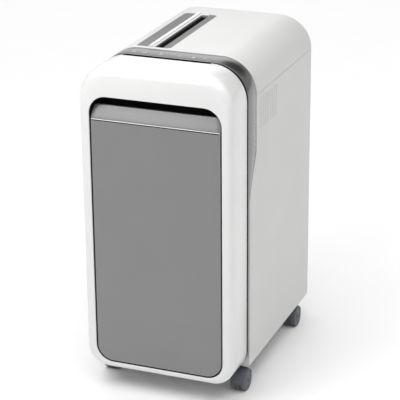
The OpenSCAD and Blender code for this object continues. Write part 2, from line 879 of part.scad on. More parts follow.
// Saw-toothed cutter disc outline
module disc_outline(turn) {
    step = 360 / disc_teeth;
    rotate(turn) polygon([for (i = [0 : disc_teeth - 1], k = [0 : 2])
        polar([disc_root, disc_r, disc_root][k], i * step + [0, step * 0.12, step * 0.3][k])]);
}

// Cutter shaft with its discs. shift moves the discs along the shaft, y1 is its rear end
module cutter_shaft(x, shift, y1, hand) {
    bar_y(x, shaft_z, core_r, plate_in0 + 0.8, plate_in1 - 0.8);
    bar_y(x, shaft_z, journal_r, plate_in0 - plate_t - bush_flange_t - 0.5, y1);
    for (i = [0 : disc_count - 1])
        translate([x, disc_first + i * disc_pitch + shift + disc_t, shaft_z])
            rotate([90, 0, 0]) linear_extrude(disc_t) disc_outline(hand * i * 11);
}

module cutter_shaft_left() {
    color(c_steel) cutter_shaft(cutter_left_x, 0, stage1_y + gear_w + 0.5, 1);
}

module cutter_shaft_right() {
    color(c_steel) cutter_shaft(cutter_right_x, disc_pitch / 2, stage2_y + gear_w + 0.4, -1);
}

// Comb whose fingers reach between the discs of one shaft and clear paper from it
module scraper_comb(x, shift, side) {
    finger_t = disc_pitch - disc_t - 2 * move_gap;
    bar_x0 = x + side * (disc_r + 2.5);
    tip = x + side * (core_r + 1.2);
    bar_w = 6;
    finger_h = 12;
    block([min(bar_x0, bar_x0 + side * bar_w), plate_in0, shaft_z - finger_h],
          [max(bar_x0, bar_x0 + side * bar_w), plate_in1, shaft_z + finger_h]);
    for (i = [0 : disc_count - 2]) {
        y = disc_first + i * disc_pitch + shift + disc_t + move_gap;
        block([min(tip, bar_x0), y, shaft_z - finger_h / 2],
              [max(tip, bar_x0), y + finger_t, shaft_z + finger_h / 2]);
    }
}

module scraper_comb_left() {
    color(c_dark) scraper_comb(cutter_left_x, 0, -1);
}

module scraper_comb_right() {
    color(c_dark) scraper_comb(cutter_right_x, disc_pitch / 2, 1);
}

// Tooth phases: a tooth of one wheel points along the line of centres, a gap of the other meets it
drive_turn = idler_angle;
small_turn = idler_angle + 180 + 180 / small_n;
big_turn = motor_angle;
pinion_turn = motor_angle + 180 + 180 / pinion_n;

// Six lightening holes of radius r on a circle, through a gear's web
module gear_holes(x, z, circle_r, r, y0) {
    for (a = [0 : 60 : 300])
        bar_y(x + circle_r * cos(a), z + circle_r * sin(a), r, y0 - slack, y0 + gear_w + slack);
}

module sync_gear_left() {
    color(c_steel) difference() {
        gear_y(cutter_left_x, shaft_z, sync_n, sync_m, stage1_y, gear_w, 0);
        bar_y(cutter_left_x, shaft_z, journal_r, stage1_y - slack, stage1_y + gear_w + slack);
    }
}

module sync_gear_right() {
    color(c_steel) difference() {
        gear_y(cutter_right_x, shaft_z, sync_n, sync_m, stage1_y, gear_w, 180 + 180 / sync_n);
        bar_y(cutter_right_x, shaft_z, journal_r, stage1_y - slack, stage1_y + gear_w + slack);
    }
}

module drive_gear() {
    color(c_steel) difference() {
        gear_y(cutter_right_x, shaft_z, drive_n, drive_m, stage2_y, gear_w, drive_turn);
        bar_y(cutter_right_x, shaft_z, journal_r, stage2_y - slack, stage2_y + gear_w + slack);
        gear_holes(cutter_right_x, shaft_z, 16.5, 4.5, stage2_y);
    }
}

module idler_gear() {
    color(c_nylon) difference() {
        union() {
            gear_y(idler_x, idler_z, small_n, drive_m, stage2_y, gear_w, small_turn);
            bar_y(idler_x, idler_z, 9, stage2_y + gear_w / 2, stage3_y + gear_w / 2);
            gear_y(idler_x, idler_z, big_n, motor_m, stage3_y, gear_w, big_turn);
        }
        bar_y(idler_x, idler_z, idler_pin_r + run_fit, stage2_y - slack, stage3_y + gear_w + slack);
        gear_holes(idler_x, idler_z, 21, 6, stage3_y);
    }
}

module idler_pin() {
    y0 = plate_in1 + plate_t;
    end = stage3_y + gear_w + 0.6;
    color(c_steel) {
        bar_y(idler_x, idler_z, idler_pin_r - 1, plate_in1, y0 + slack);
        bar_y(idler_x, idler_z, idler_pin_r, y0, end + 1);
        bar_y(idler_x, idler_z, idler_pin_r + 3, y0, stage2_y - 0.6);
        bar_y(idler_x, idler_z, idler_pin_r + 3, end, end + 2);
    }
}

// ---------------------------------------------------------------- motor

module motor_can() {
    band = 8;
    color(c_dark) difference() {
        union() {
            bar_y(motor_x, motor_z, motor_r - 1.5, motor_y0, motor_y1);
            bar_y(motor_x, motor_z, motor_r, motor_y0 + band, motor_y1 - band);
            bar_y(motor_x, motor_z, motor_shaft_r + 4, motor_y1 - slack, motor_y1 + plate_t);
            bar_y(motor_x, motor_z, motor_shaft_r + 8, motor_y0 - 4, motor_y0 + slack);
        }
        bar_y(motor_x, motor_z, motor_shaft_r + run_fit, motor_y0 - 10, motor_y1 + 10);
    }
}

module motor_shaft() {
    color(c_steel) bar_y(motor_x, motor_z, motor_shaft_r, motor_y0 - 8 - fan_t, stage3_y + gear_w + 1);
}

module motor_pinion() {
    color(c_brass) difference() {
        gear_y(motor_x, motor_z, pinion_n, motor_m, stage3_y, gear_w, pinion_turn);
        bar_y(motor_x, motor_z, motor_shaft_r, stage3_y - slack, stage3_y + gear_w + slack);
    }
}

module motor_fan() {
    y1 = motor_y0 - 6;
    y0 = y1 - fan_t;
    blades = 9;
    color(c_black) difference() {
        union() {
            bar_y(motor_x, motor_z, 9, y0, y1);
            bar_y(motor_x, motor_z, fan_r, y1 - 2, y1);
            for (i = [0 : blades - 1])
                translate([motor_x, 0, motor_z]) rotate([0, i * 360 / blades, 0])
                    block([7, y0 + 1, -0.8], [fan_r - 0.5, y1 - 1, 0.8]);
        }
        bar_y(motor_x, motor_z, motor_shaft_r, y0 - slack, y1 + slack);
    }
}

// Folded cradle between the deck and the motor
module motor_cradle() {
    y0 = motor_y0 + 20;
    y1 = motor_y1 - 24;
    half = 26;
    t = 2.5;
    color(c_zinc) difference() {
        block([motor_x - half, y0, deck_top], [motor_x + half, y1, motor_z - motor_r * 0.6]);
        block([motor_x - half - slack, y0 + t, deck_top + t], [motor_x + half + slack, y1 - t, motor_z]);
        bar_y(motor_x, motor_z, motor_r, y0 - slack, y1 + slack);
    }
}

// ---------------------------------------------------------------- electrics

board_x = frame_x - 9;
module control_board() {
    len = slot_len * 0.4;
    y0 = slot_y0 + 4;
    z0 = deck_top + 8;
    x = board_x;
    color(c_board) {
        block([x - board_t, y0, z0], [x, y0 + len, z0 + 70]);
        block([x - board_t - 9, y0 + 8, z0 + 10], [x - board_t, y0 + 30, z0 + 28]);
        block([x - board_t - 3, y0 + 40, z0 + 34], [x - board_t, y0 + 54, z0 + 48]);
        block([x, y0 + 10, deck_top], [x + 6, y0 + 16, z0 + 20]);
        block([x, y0 + len - 20, deck_top], [x + 6, y0 + len - 14, z0 + 20]);
    }
}

module power_board() {
    len = slot_len * 0.42;
    y1 = plate_in1 - 2;
    y0 = y1 - len;
    z0 = deck_top + 8;
    x = board_x;
    color(c_board) {
        block([x - board_t, y0, z0], [x, y1, z0 + 60]);
        block([x - board_t - 13, y0 + 10, z0 + 8], [x - board_t, y0 + 40, z0 + 34]);
        bar_x(y0 + 64, z0 + 36, 9, x - board_t - 14, x - board_t);
        block([x, y0 + 10, deck_top], [x + 6, y0 + 16, z0 + 20]);
        block([x, y0 + len - 20, deck_top], [x + 6, y0 + len - 14, z0 + 20]);
    }
}

module power_inlet() {
    w = inlet_size[0];
    h = inlet_size[1];
    f = fitting_flange;
    depth = 19;
    pin = 1;
    color(c_black) {
        difference() {
            union() {
                block([inlet_x - w / 2 - f, rear_y - fitting_lip, inlet_z - h / 2 - f],
                      [inlet_x + w / 2 + f, rear_y, inlet_z + h / 2 + f]);
                block([inlet_x - w / 2, rear_y - depth, inlet_z - h / 2],
                      [inlet_x + w / 2, rear_y, inlet_z + h / 2]);
            }
            block([inlet_x - w / 2 + 2.5, rear_y - depth + 3, inlet_z - h / 2 + 2.5],
                  [inlet_x + w / 2 - 2.5, rear_y + slack, inlet_z + h / 2 - 2.5]);
        }
        for (p = [[-7, 2], [0, -3], [7, 2]])
            block([inlet_x + p[0] - pin, rear_y - depth + 2, inlet_z + p[1] - 2 * pin],
                  [inlet_x + p[0] + pin, rear_y - 5, inlet_z + p[1] + 2 * pin]);
    }
}

// Rocker switch: axis along X, just inside the panel
rocker_y = rear_y - 4.4;
module switch_housing() {
    w = switch_size[0];
    h = switch_size[1];
    f = fitting_flange;
    depth = 15;
    color(c_black) difference() {
        union() {
            block([switch_x - w / 2 - f, rear_y - fitting_lip, inlet_z - h / 2 - f],
                  [switch_x + w / 2 + f, rear_y, inlet_z + h / 2 + f]);
            block([switch_x - w / 2, rear_y - depth, inlet_z - h / 2],
                  [switch_x + w / 2, rear_y, inlet_z + h / 2]);
        }
        block([switch_x - w / 2 + 2, rear_y - depth + 2, inlet_z - h / 2 + 2],
              [switch_x + w / 2 - 2, rear_y + slack, inlet_z + h / 2 - 2]);
        bar_x(rocker_y, inlet_z, rocker_pin_r + run_fit, switch_x - w / 2 + 1, switch_x + w / 2 - 1);
    }
}

module rocker() {
    w = switch_size[0] - 4 - 2 * move_gap;
    h = switch_size[1] - 4 - 2 * rocker_tilt_room;
    pin_half = switch_size[0] / 2 - 1 - 0.3;
    face = rear_y - 1.2;
    edge = face - 2.2;
    color(c_dark) {
        along_x(switch_x - w / 2, switch_x + w / 2) polygon([
            [rocker_y - 3, inlet_z - 4], [edge, inlet_z - h / 2], [face, inlet_z - h / 2],
            [face - 1.2, inlet_z], [face, inlet_z + h / 2], [edge, inlet_z + h / 2],
            [rocker_y - 3, inlet_z + 4]
        ]);
        bar_x(rocker_y, inlet_z, rocker_pin_r, switch_x - pin_half, switch_x + pin_half);
    }
}

// Bin interlock: a sprung plunger that faces the bin tub's rear wall
interlock_x = 86;
interlock_z = tub_z1 - 50;
plunger_r = 2.5;
module interlock_switch() {
    color(c_black) difference() {
        block([interlock_x - 8, tub_back + 5, interlock_z - 11],
              [interlock_x + 8, rear_y - wall, interlock_z + 11]);
        bar_y(interlock_x, interlock_z, plunger_r + run_fit, tub_back + 4, tub_back + 22);
    }
}

module interlock_plunger() {
    color(c_nylon) bar_y(interlock_x, interlock_z, plunger_r, tub_back + 0.5, tub_back + 18);
}

// ---------------------------------------------------------------- bin

module tub_section(inset) {
    x1 = tub_half - inset;
    r = tub_bottom_r - inset;
    corner_plate(-x1, x1, tub_z0 + inset, inset > 0 ? tub_z1 + slack : tub_z1, [r, r, 0, 0]);
}

bin_boss_r = 5;
bin_boss_in = 26;
module each_bin_boss() {
    for (x = [-1, 1] * (tub_half - bin_boss_in), z = [tub_z0 + 40, tub_z1 - 30])
        translate([x, 0, z]) children();
}

module bin_tub() {
    rim = 4;
    color(c_grey) difference() {
        union() {
            along_y(tub_front, tub_back) tub_section(0);
            block([-tub_half - rim, tub_front, tub_z1 - bin_wall], [tub_half + rim, tub_back, tub_z1]);
        }
        along_y(tub_front + bin_wall, tub_back - bin_wall) tub_section(bin_wall);
        each_bin_boss() bar_y(0, 0, 2, tub_front - slack, tub_front + bin_wall + slack);
    }
}

// Bin front: a flat panel with a lip that slopes back towards the finger pocket
module bin_front() {
    y0 = bin_face_y;
    t = bin_shell;
    color(c_grey) {
        difference() {
            intersection() {
                along_y(y0, lip_back) opening_outline(bin_gap);
                along_x(-half_w, half_w) polygon([
                    [y0, opening_z0], [y0, lip_z], [y0 + lip_d, lip_top_z],
                    [lip_back, lip_top_z], [lip_back, opening_z0]
                ]);
            }
            intersection() {
                along_y(y0 + t, lip_back + slack) opening_outline(bin_gap + t);
                along_x(-half_w, half_w) polygon([
                    [y0 + t, opening_z0], [y0 + t, lip_z - 1], [y0 + lip_d + t / 2, lip_top_z - t],
                    [lip_back + 2, lip_top_z - t], [lip_back + 2, opening_z0]
                ]);
            }
        }
        each_bin_boss() difference() {
            bar_y(0, 0, bin_boss_r, y0 + t - 0.5, tub_front);
            bar_y(0, 0, 2, y0 + t + 4, tub_front + slack);
        }
    }
}

module bin_screws() {
    y = tub_front + bin_wall;
    color(c_zinc) each_bin_boss() translate([0, y, 0]) rotate([-90, 0, 0]) screw_shape(2, 16, 4, 2);
}

// ---------------------------------------------------------------- fasteners

// Rear panel screws, sunk flush; they bite into the lips of the side panels
case_screw_r = 1.8;
case_head_r = 4;
case_head_h = 1.6;
module each_case_screw() {
    x = panel_x - 8;
    for (s = [-1, 1], z = [ground_gap + rear_bottom_r + 12, (ground_gap + seam_z) / 2, seam_z - 14])
        translate([s * x, rear_y - case_head_h, z]) rotate([-90, 0, 0]) children();
}

module case_screws() {
    len = wall - case_head_h + rear_lip_t + 3;
    color(c_zinc) each_case_screw() screw_shape(case_screw_r, len, case_head_r, case_head_h);
}

module mechanism_screws() {
    color(c_zinc) each_foot_screw() translate([0, 0, deck_top + foot_t])
        screw_shape(2, foot_t + deck_t + 3, 4, 2.4);
}

// ---------------------------------------------------------------- casters

// The four swivel axes
module each_caster() {
    for (x = [-caster_x, caster_x], y = [caster_front_y, caster_rear_y]) translate([x, y, 0]) children();
}

module caster_sockets() {
    color(c_nylon) each_caster() difference() {
        union() {
            translate([0, 0, ground_gap]) cylinder(r = socket_r, h = stem_top - ground_gap);
            translate([0, 0, ground_gap - socket_flange_t])
                cylinder(r = socket_flange_r, h = socket_flange_t);
        }
        translate([0, 0, ground_gap - 5]) cylinder(r = stem_r + stem_fit, h = stem_top);
    }
}

// Fork of one caster: stem, hood over the wheels, central web and axle
module caster_fork(x, y) {
    hood_r = wheel_r + 2.2;
    hood_half = fork_web / 2 + move_gap + wheel_w + 0.5;
    axle_y = -caster_trail;
    translate([x, y, 0]) {
        translate([0, 0, fork_top - 8]) cylinder(r = stem_r, h = stem_top - 1 - fork_top + 8);
        difference() {
            union() {
                // Hood and web
                bar_x(axle_y, wheel_r, hood_r - 0.2, -fork_web / 2, fork_web / 2);
                intersection() {
                    bar_x(axle_y, wheel_r, hood_r, -hood_half, hood_half);
                    block([-hood_half, axle_y - hood_r, wheel_r + 2],
                          [hood_half, axle_y + hood_r, wheel_r + hood_r]);
                }
                translate([0, 0, wheel_r + 2]) cylinder(r = 9, h = fork_top - wheel_r - 2);
            }
            for (s = [-1, 1])
                bar_x(axle_y, wheel_r, wheel_r + move_gap, s > 0 ? fork_web / 2 : -hood_half - slack,
                    s > 0 ? hood_half + slack : -fork_web / 2);
            // The web stays clear of the floor
            block([-half_w, -body_d, -wheel_r], [half_w, body_d, 5]);
        }
        bar_x(axle_y, wheel_r, axle_r, -hood_half + 1, hood_half - 1);
    }
}

// Pair of wheels of one caster
module caster_wheel_pair(x, y) {
    a = fork_web / 2 + move_gap;
    tread = 0.8;
    for (s = [-1, 1])
        difference() {
            union() {
                bar_x(y - caster_trail, wheel_r, wheel_r, x + s * (a + wheel_w / 2) - wheel_w / 2 + tread,
                    x + s * (a + wheel_w / 2) + wheel_w / 2 - tread);
                bar_x(y - caster_trail, wheel_r, wheel_r - 1, x + s * (a + wheel_w / 2) - wheel_w / 2,
                    x + s * (a + wheel_w / 2) + wheel_w / 2);
            }
            bar_x(y - caster_trail, wheel_r, axle_r + run_fit, x - half_w, x + half_w);
        }
}

module caster_fork_fl() {
    color(c_slate) caster_fork(-caster_x, caster_front_y);
}

module caster_fork_fr() {
    color(c_slate) caster_fork(caster_x, caster_front_y);
}

module caster_fork_rl() {
    color(c_slate) caster_fork(-caster_x, caster_rear_y);
}

module caster_fork_rr() {
    color(c_slate) caster_fork(caster_x, caster_rear_y);
}

module caster_wheels_fl() {
    color(c_slate) caster_wheel_pair(-caster_x, caster_front_y);
}

module caster_wheels_fr() {
    color(c_slate) caster_wheel_pair(caster_x, caster_front_y);
}

module caster_wheels_rl() {
    color(c_slate) caster_wheel_pair(-caster_x, caster_rear_y);
}

module caster_wheels_rr() {
    color(c_slate) caster_wheel_pair(caster_x, caster_rear_y);
}

top_cover();
side_panel_left();
side_panel_right();
rear_panel();
base_tray();
front_bezel();
groove_ring();
trim_band();
touch_board();
touch_icons();
status_lens();
throat_plate();
paper_guide();
throat_chute();
sensor_bracket();
sensor_lever();
frame_left();
frame_right();
deck();
bin_runners();
cutter_plate_front();
cutter_plate_rear();
tie_rods();
cutter_bearings();
cutter_shaft_left();
cutter_shaft_right();
scraper_comb_left();
scraper_comb_right();
sync_gear_left();
sync_gear_right();
drive_gear();
idler_gear();
idler_pin();
motor_can();
motor_shaft();
motor_pinion();
motor_fan();
motor_cradle();
control_board();
power_board();
power_inlet();
switch_housing();
rocker();
interlock_switch();
interlock_plunger();
bin_tub();
bin_front();
bin_screws();
case_screws();
caster_sockets();
caster_fork_fl();
caster_fork_fr();
caster_fork_rl();
caster_fork_rr();
caster_wheels_fl();
caster_wheels_fr();
caster_wheels_rl();
caster_wheels_rr();
mechanism_screws();
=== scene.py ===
import json
import math
import bmesh
import bpy
from mathutils import Matrix, Vector


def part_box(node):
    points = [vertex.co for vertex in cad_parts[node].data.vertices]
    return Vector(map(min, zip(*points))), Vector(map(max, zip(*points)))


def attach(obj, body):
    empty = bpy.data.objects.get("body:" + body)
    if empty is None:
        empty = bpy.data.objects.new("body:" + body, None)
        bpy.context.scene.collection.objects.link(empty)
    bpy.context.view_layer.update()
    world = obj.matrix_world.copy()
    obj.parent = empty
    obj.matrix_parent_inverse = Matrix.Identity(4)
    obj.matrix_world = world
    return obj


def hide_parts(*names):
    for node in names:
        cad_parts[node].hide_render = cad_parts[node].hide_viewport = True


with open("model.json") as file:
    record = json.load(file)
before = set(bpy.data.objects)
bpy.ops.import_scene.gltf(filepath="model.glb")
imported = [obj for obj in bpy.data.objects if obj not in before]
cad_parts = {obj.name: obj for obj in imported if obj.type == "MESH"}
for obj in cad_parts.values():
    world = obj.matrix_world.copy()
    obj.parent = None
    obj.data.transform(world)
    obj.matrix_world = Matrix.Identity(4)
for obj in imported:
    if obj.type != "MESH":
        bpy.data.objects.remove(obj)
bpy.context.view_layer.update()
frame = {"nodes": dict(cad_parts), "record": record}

MM = 0.001
nodes = frame["nodes"]


# ------------------------------------------------------------------ camera

def towards(azimuth, elevation):
    """Unit vector from the object to a viewpoint, given in degrees from the front and from the floor."""
    a, e = math.radians(azimuth), math.radians(elevation)
    return Vector((math.sin(a) * math.cos(e), -math.cos(a) * math.cos(e), math.sin(e)))


def make_camera():
    azimuth, elevation, roll = 21.58, 21.40, math.radians(-0.51)
    distance = 3.204
    target = Vector((-0.0045, 0, 0.3136))
    data = bpy.data.cameras.new("photo_camera")
    data.sensor_width = 36
    data.lens = 149.31
    data.clip_end = 100
    cam = bpy.data.objects.new("photo_camera", data)
    bpy.context.scene.collection.objects.link(cam)
    back = towards(azimuth, elevation)
    right = Vector((math.cos(math.radians(azimuth)), math.sin(math.radians(azimuth)), 0))
    up = back.cross(right)
    rolled_right = right * math.cos(roll) + up * math.sin(roll)
    rolled_up = up * math.cos(roll) - right * math.sin(roll)
    turn = Matrix((rolled_right, rolled_up, back)).transposed().to_4x4()
    cam.matrix_world = Matrix.Translation(target + back * distance) @ turn
    bpy.context.scene.camera = cam


make_camera()


# ------------------------------------------------------------------ sizes in millimetres, from the frame

def span(node):
    lo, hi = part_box(node)
    return [v / MM for v in lo], [v / MM for v in hi]


bezel_lo, bezel_hi = span("front_bezel")
band_lo, band_hi = span("trim_band")
rear_hi = span("rear_panel")[1]
tray_hi = span("base_tray")[1]
plate_lo, plate_hi = span("throat_plate")
chute_lo, chute_hi = span("throat_chute")
guide_lo, guide_hi = span("paper_guide")
bin_lo, bin_hi = span("bin_front")
lens_lo, lens_hi = span("status_lens")
icons_lo, icons_hi = span("touch_icons")

# Casing
HALF_W = bezel_hi[0]
FRONT = bezel_lo[1]
REAR = rear_hi[1]
GROUND = bezel_lo[2]
TOP = bezel_hi[2]
BEZEL_BACK = bezel_hi[1]
GAP = 0.6
WALL = 2.6
SEAM_Z = TOP - 67
PANEL_X = HALF_W - 15
TRAY_EDGE = tray_hi[0] + GAP
TOP_R, FOOT_R, BEZEL_LOW_R = 66, 6, 42
# How far the casing's rounding reaches in from its rear edge, at the sides, top and foot
ROLL_SIDE, ROLL_TOP, ROLL_FOOT = 14, 28, 40
REAR_FOOT_Y = REAR - ROLL_FOOT

# Trim band: wide at the top, then a sweep down to a narrow strip
BAND_FRONT = band_lo[1]
BAND_BACK = band_hi[1]
STRIP_BACK = BAND_BACK - 35
SWEEP_TOP, SWEEP_LOW, SWEEP_POWER = TOP - 176, TOP - 264, 1.35

# Bin opening and bin front
OPEN_X, OPEN_Z0, OPEN_Z1 = 127, GROUND + 13, TOP - 59
OPEN_LOW_R, OPEN_TOP_R = 33, 34
LIP_BACK = bin_hi[1] - 3.5
CREASE_Z = 537.0
CREASE_BLEND = 3.0

# Throat plate: the CAD plate's flange lies under the top cover, and the slot is the inside of the chute
PLATE_FLANGE, PLATE_R = 4, 7
PLATE_X0, PLATE_X1 = plate_lo[0] + PLATE_FLANGE, plate_hi[0] - PLATE_FLANGE
PLATE_Y0, PLATE_Y1 = plate_lo[1] + PLATE_FLANGE, plate_hi[1] - PLATE_FLANGE
PLATE_TOP = TOP - 1
CHUTE_SIDE, CHUTE_END = 3, 1.8
SLOT_X0, SLOT_X1 = chute_lo[0] + CHUTE_SIDE, chute_hi[0] - CHUTE_SIDE
SLOT_Y0, SLOT_Y1 = chute_lo[1] + CHUTE_END, chute_hi[1] - CHUTE_END

# Casters: distance from the axle back to the swivel's axis
CASTER_TRAIL = 16


# ------------------------------------------------------------------ materials

def new_material(name):
    material = bpy.data.materials.new(name)
    material.use_nodes = True
    tree = material.node_tree
    tree.nodes.clear()
    out = tree.nodes.new("ShaderNodeOutputMaterial")
    shader = tree.nodes.new("ShaderNodeBsdfPrincipled")
    tree.links.new(shader.outputs["BSDF"], out.inputs["Surface"])
    return material, tree, shader


def noise(tree, coords, scale, detail=2.0, rough=0.5):
    node = tree.nodes.new("ShaderNodeTexNoise")
    node.inputs["Scale"].default_value = scale
    node.inputs["Detail"].default_value = detail
    node.inputs["Roughness"].default_value = rough
    tree.links.new(coords, node.inputs["Vector"])
    return node.outputs["Fac"]


def ranged(tree, value, low, high):
    """Stretches the middle of a noise's range to low..high."""
    noise_low, noise_high = 0.3, 0.7
    node = tree.nodes.new("ShaderNodeMapRange")
    node.inputs["From Min"].default_value = noise_low
    node.inputs["From Max"].default_value = noise_high
    node.inputs["To Min"].default_value = low
    node.inputs["To Max"].default_value = high
    tree.links.new(value, node.inputs["Value"])
    return node.outputs["Result"]


def tinted(color, change):
    return [max(0, min(1, c * (1 + change))) for c in color] + [1]


def mix_colors(tree, factor, low, high):
    """Mixes two colours, each given as a list or as another node's output."""
    node = tree.nodes.new("ShaderNodeMix")
    node.data_type = "RGBA"
    for name, color in (("A", low), ("B", high)):
        if isinstance(color, list):
            node.inputs[name].default_value = color
        else:
            tree.links.new(color, node.inputs[name])
    tree.links.new(factor, node.inputs["Factor"])
    return node.outputs["Result"]


def surface(name, color, rough, metallic=0.0, spread=0.04, rough_spread=0.05, grain=900, bump=0.06,
            bump_depth=0.0001, coat=0.0, coat_rough=0.1, stretch=(1, 1, 1), specular=0.5, speck=0.0):
    """Procedural surface: slow colour drift, grain in roughness and height, optional stretch and specks."""
    drift_scale, speck_scale, speck_reach = 9, 1.7, 0.8
    material, tree, shader = new_material(name)
    coords = tree.nodes.new("ShaderNodeTexCoord").outputs["Object"]
    mapping = tree.nodes.new("ShaderNodeMapping")
    mapping.inputs["Scale"].default_value = stretch
    tree.links.new(coords, mapping.inputs["Vector"])
    fine = noise(tree, mapping.outputs["Vector"], grain, 3.0)
    slow = noise(tree, coords, drift_scale, 2.0)
    base = mix_colors(tree, ranged(tree, slow, 0, 1), tinted(color, -spread), tinted(color, spread))
    if speck:
        dots = noise(tree, coords, grain * speck_scale, 1.0)
        base = mix_colors(tree, ranged(tree, dots, 0, speck_reach), base, tinted(color, speck))
    tree.links.new(base, shader.inputs["Base Color"])
    roughness = ranged(tree, fine, max(0.02, rough - rough_spread), min(1, rough + rough_spread))
    tree.links.new(roughness, shader.inputs["Roughness"])
    if bump:
        relief = tree.nodes.new("ShaderNodeBump")
        relief.inputs["Strength"].default_value = bump
        relief.inputs["Distance"].default_value = bump_depth
        tree.links.new(fine, relief.inputs["Height"])
        tree.links.new(relief.outputs["Normal"], shader.inputs["Normal"])
    shader.inputs["Metallic"].default_value = metallic
    shader.inputs["Specular IOR Level"].default_value = specular
    shader.inputs["Coat Weight"].default_value = coat
    shader.inputs["Coat Roughness"].default_value = coat_rough
    return material


# Colour, roughness and the settings that differ from surface()'s own
LOOKS = {
    "gloss_white": ((0.77, 0.77, 0.765), 0.24, {"spread": 0.012, "rough_spread": 0.03, "grain": 260,
                                                "bump": 0.03, "coat": 0.35, "coat_rough": 0.08}),
    "white_shell": ((0.645, 0.645, 0.637), 0.40, {"spread": 0.015, "grain": 1600, "bump": 0.12,
                                                  "bump_depth": 0.00012}),
    "satin_trim": ((0.23, 0.23, 0.23), 0.22, {"metallic": 0.9, "spread": 0.03, "rough_spread": 0.03,
                                              "grain": 1500, "bump": 0.04, "stretch": (1, 0.06, 1),
                                              "speck": 0.10}),
    "bin_grey": ((0.215, 0.215, 0.215), 0.36, {"metallic": 0.3, "spread": 0.025, "grain": 2200,
                                               "bump": 0.10, "bump_depth": 0.00008, "speck": 0.15}),
    # Painted highlight: a light grey for the bead under the bin's lip, far lighter than the panel
    "bin_painted_highlight": ((0.62, 0.62, 0.62), 0.30, {"metallic": 0.5, "spread": 0.02, "grain": 900, "bump": 0.05}),
    # Painted shade: near black for the groove behind the band, the edging in the bin's opening and the strip
    # under the lip
    "painted_shade_black": ((0.006, 0.006, 0.006), 0.70, {"specular": 0.1, "spread": 0.08, "grain": 1200,
                                                   "bump": 0.1}),
    "throat_dark": ((0.205, 0.205, 0.207), 0.48, {"spread": 0.06, "grain": 1800, "bump": 0.15}),
    "guide_white": ((0.84, 0.84, 0.83), 0.26, {"spread": 0.012, "grain": 400, "bump": 0.03, "coat": 0.2}),
    "lens_black": ((0.010, 0.010, 0.011), 0.35, {"spread": 0.05, "grain": 300, "bump": 0.01,
                                                 "specular": 0.2}),
    "icon_lens": ((0.60, 0.61, 0.62), 0.35, {"spread": 0.02, "grain": 900, "bump": 0.03}),
    "black_plastic": ((0.018, 0.018, 0.019), 0.50, {"spread": 0.08, "grain": 1500, "bump": 0.18}),
    # Painted shade: near black for the hollow above the bin's lip
    "recess_painted_shade": ((0.030, 0.030, 0.031), 0.60, {"specular": 0.2, "spread": 0.08, "grain": 1200,
                                                   "bump": 0.15}),
    "nylon": ((0.62, 0.59, 0.51), 0.45, {"spread": 0.03, "grain": 700, "bump": 0.08}),
    "cutter_steel": ((0.46, 0.46, 0.47), 0.30, {"metallic": 1.0, "spread": 0.08, "rough_spread": 0.10,
                                                "grain": 700, "bump": 0.15, "stretch": (1, 0.08, 1)}),
    "zinc_plate": ((0.56, 0.57, 0.56), 0.38, {"metallic": 1.0, "spread": 0.10, "rough_spread": 0.10,
                                              "grain": 160, "bump": 0.05}),
    "motor_paint": ((0.03, 0.03, 0.034), 0.35, {"spread": 0.1, "grain": 600, "bump": 0.1, "coat": 0.2}),
    "brass_bush": ((0.62, 0.44, 0.17), 0.32, {"metallic": 1.0, "spread": 0.08, "grain": 600, "bump": 0.1}),
    "board_green": ((0.015, 0.11, 0.05), 0.32, {"spread": 0.10, "grain": 300, "bump": 0.1, "coat": 0.3}),
    "fork_slate": ((0.080, 0.086, 0.098), 0.42, {"spread": 0.06, "grain": 1500, "bump": 0.16}),
    "tyre_slate": ((0.112, 0.119, 0.134), 0.50, {"spread": 0.06, "grain": 900, "bump": 0.20}),
}
mats = {name: surface(name, color, rough, **extra) for name, (color, rough, extra) in LOOKS.items()}
slot_of = {row["node"]: row["material_slot"] for row in frame["record"]["subparts"]}
for node_name, node_object in nodes.items():
    node_object.data.materials.clear()
    node_object.data.materials.append(mats[slot_of[node_name]])


# ------------------------------------------------------------------ outlines, in millimetres

def rounded_loop(x1, z0, z1, low_r, top_r, arc=14, low=6, side=60, top=12):
    """Anticlockwise rounded rectangle seen from the front: points (x, z) and outward normals."""
    x0 = -x1
    corners = [(x0 + low_r, z0 + low_r, low_r, 180), (x1 - low_r, z0 + low_r, low_r, 270),
               (x1 - top_r, z1 - top_r, top_r, 0), (x0 + top_r, z1 - top_r, top_r, 90)]
    arcs = []
    for cx, cz, r, start in corners:
        run = []
        for i in range(arc + 1):
            a = math.radians(start + 90 * i / arc)
            run.append((cx + r * math.cos(a), cz + r * math.sin(a), math.cos(a), math.sin(a)))
        arcs.append(run)
    points = []
    for k, count in enumerate((low, side, top, side)):
        points += arcs[k]
        a, b = arcs[k][-1], arcs[(k + 1) % 4][0]
        for i in range(1, count):
            t = i / count
            points.append((a[0] + (b[0] - a[0]) * t, a[1] + (b[1] - a[1]) * t, a[2], a[3]))
    return points


def casing_ring(inset, low_r=BEZEL_LOW_R, **counts):
    """The casing's outline, moved in by inset all round."""
    return rounded_loop(HALF_W - inset, GROUND + inset, TOP - inset, low_r - inset, TOP_R - inset, **counts)


def opening_ring(grow):
    """Outline of the bin's opening, moved out by grow all round."""
    return rounded_loop(OPEN_X + grow, OPEN_Z0 - grow, OPEN_Z1 + grow, OPEN_LOW_R + grow, OPEN_TOP_R + grow)


def at_y(outline, y):
    """Stands an outline of (x, z, ...) points up in the plane at y."""
    return [(p[0], y, p[1]) for p in outline]


def polar(cx, cy, r, degrees):
    a = math.radians(degrees)
    return cx + r * math.cos(a), cy + r * math.sin(a)


def rectangle(x0, y0, x1, y1):
    return [(x0, y0), (x1, y0), (x1, y1), (x0, y1)]


def rounded_rectangle(x0, y0, x1, y1, r, steps=6):
    corners = ((x0 + r, y0 + r, 180), (x1 - r, y0 + r, 270), (x1 - r, y1 - r, 0), (x0 + r, y1 - r, 90))
    return [polar(cx, cy, r, start + 90 * i / steps) for cx, cy, start in corners for i in range(steps + 1)]


# ------------------------------------------------------------------ mesh helpers

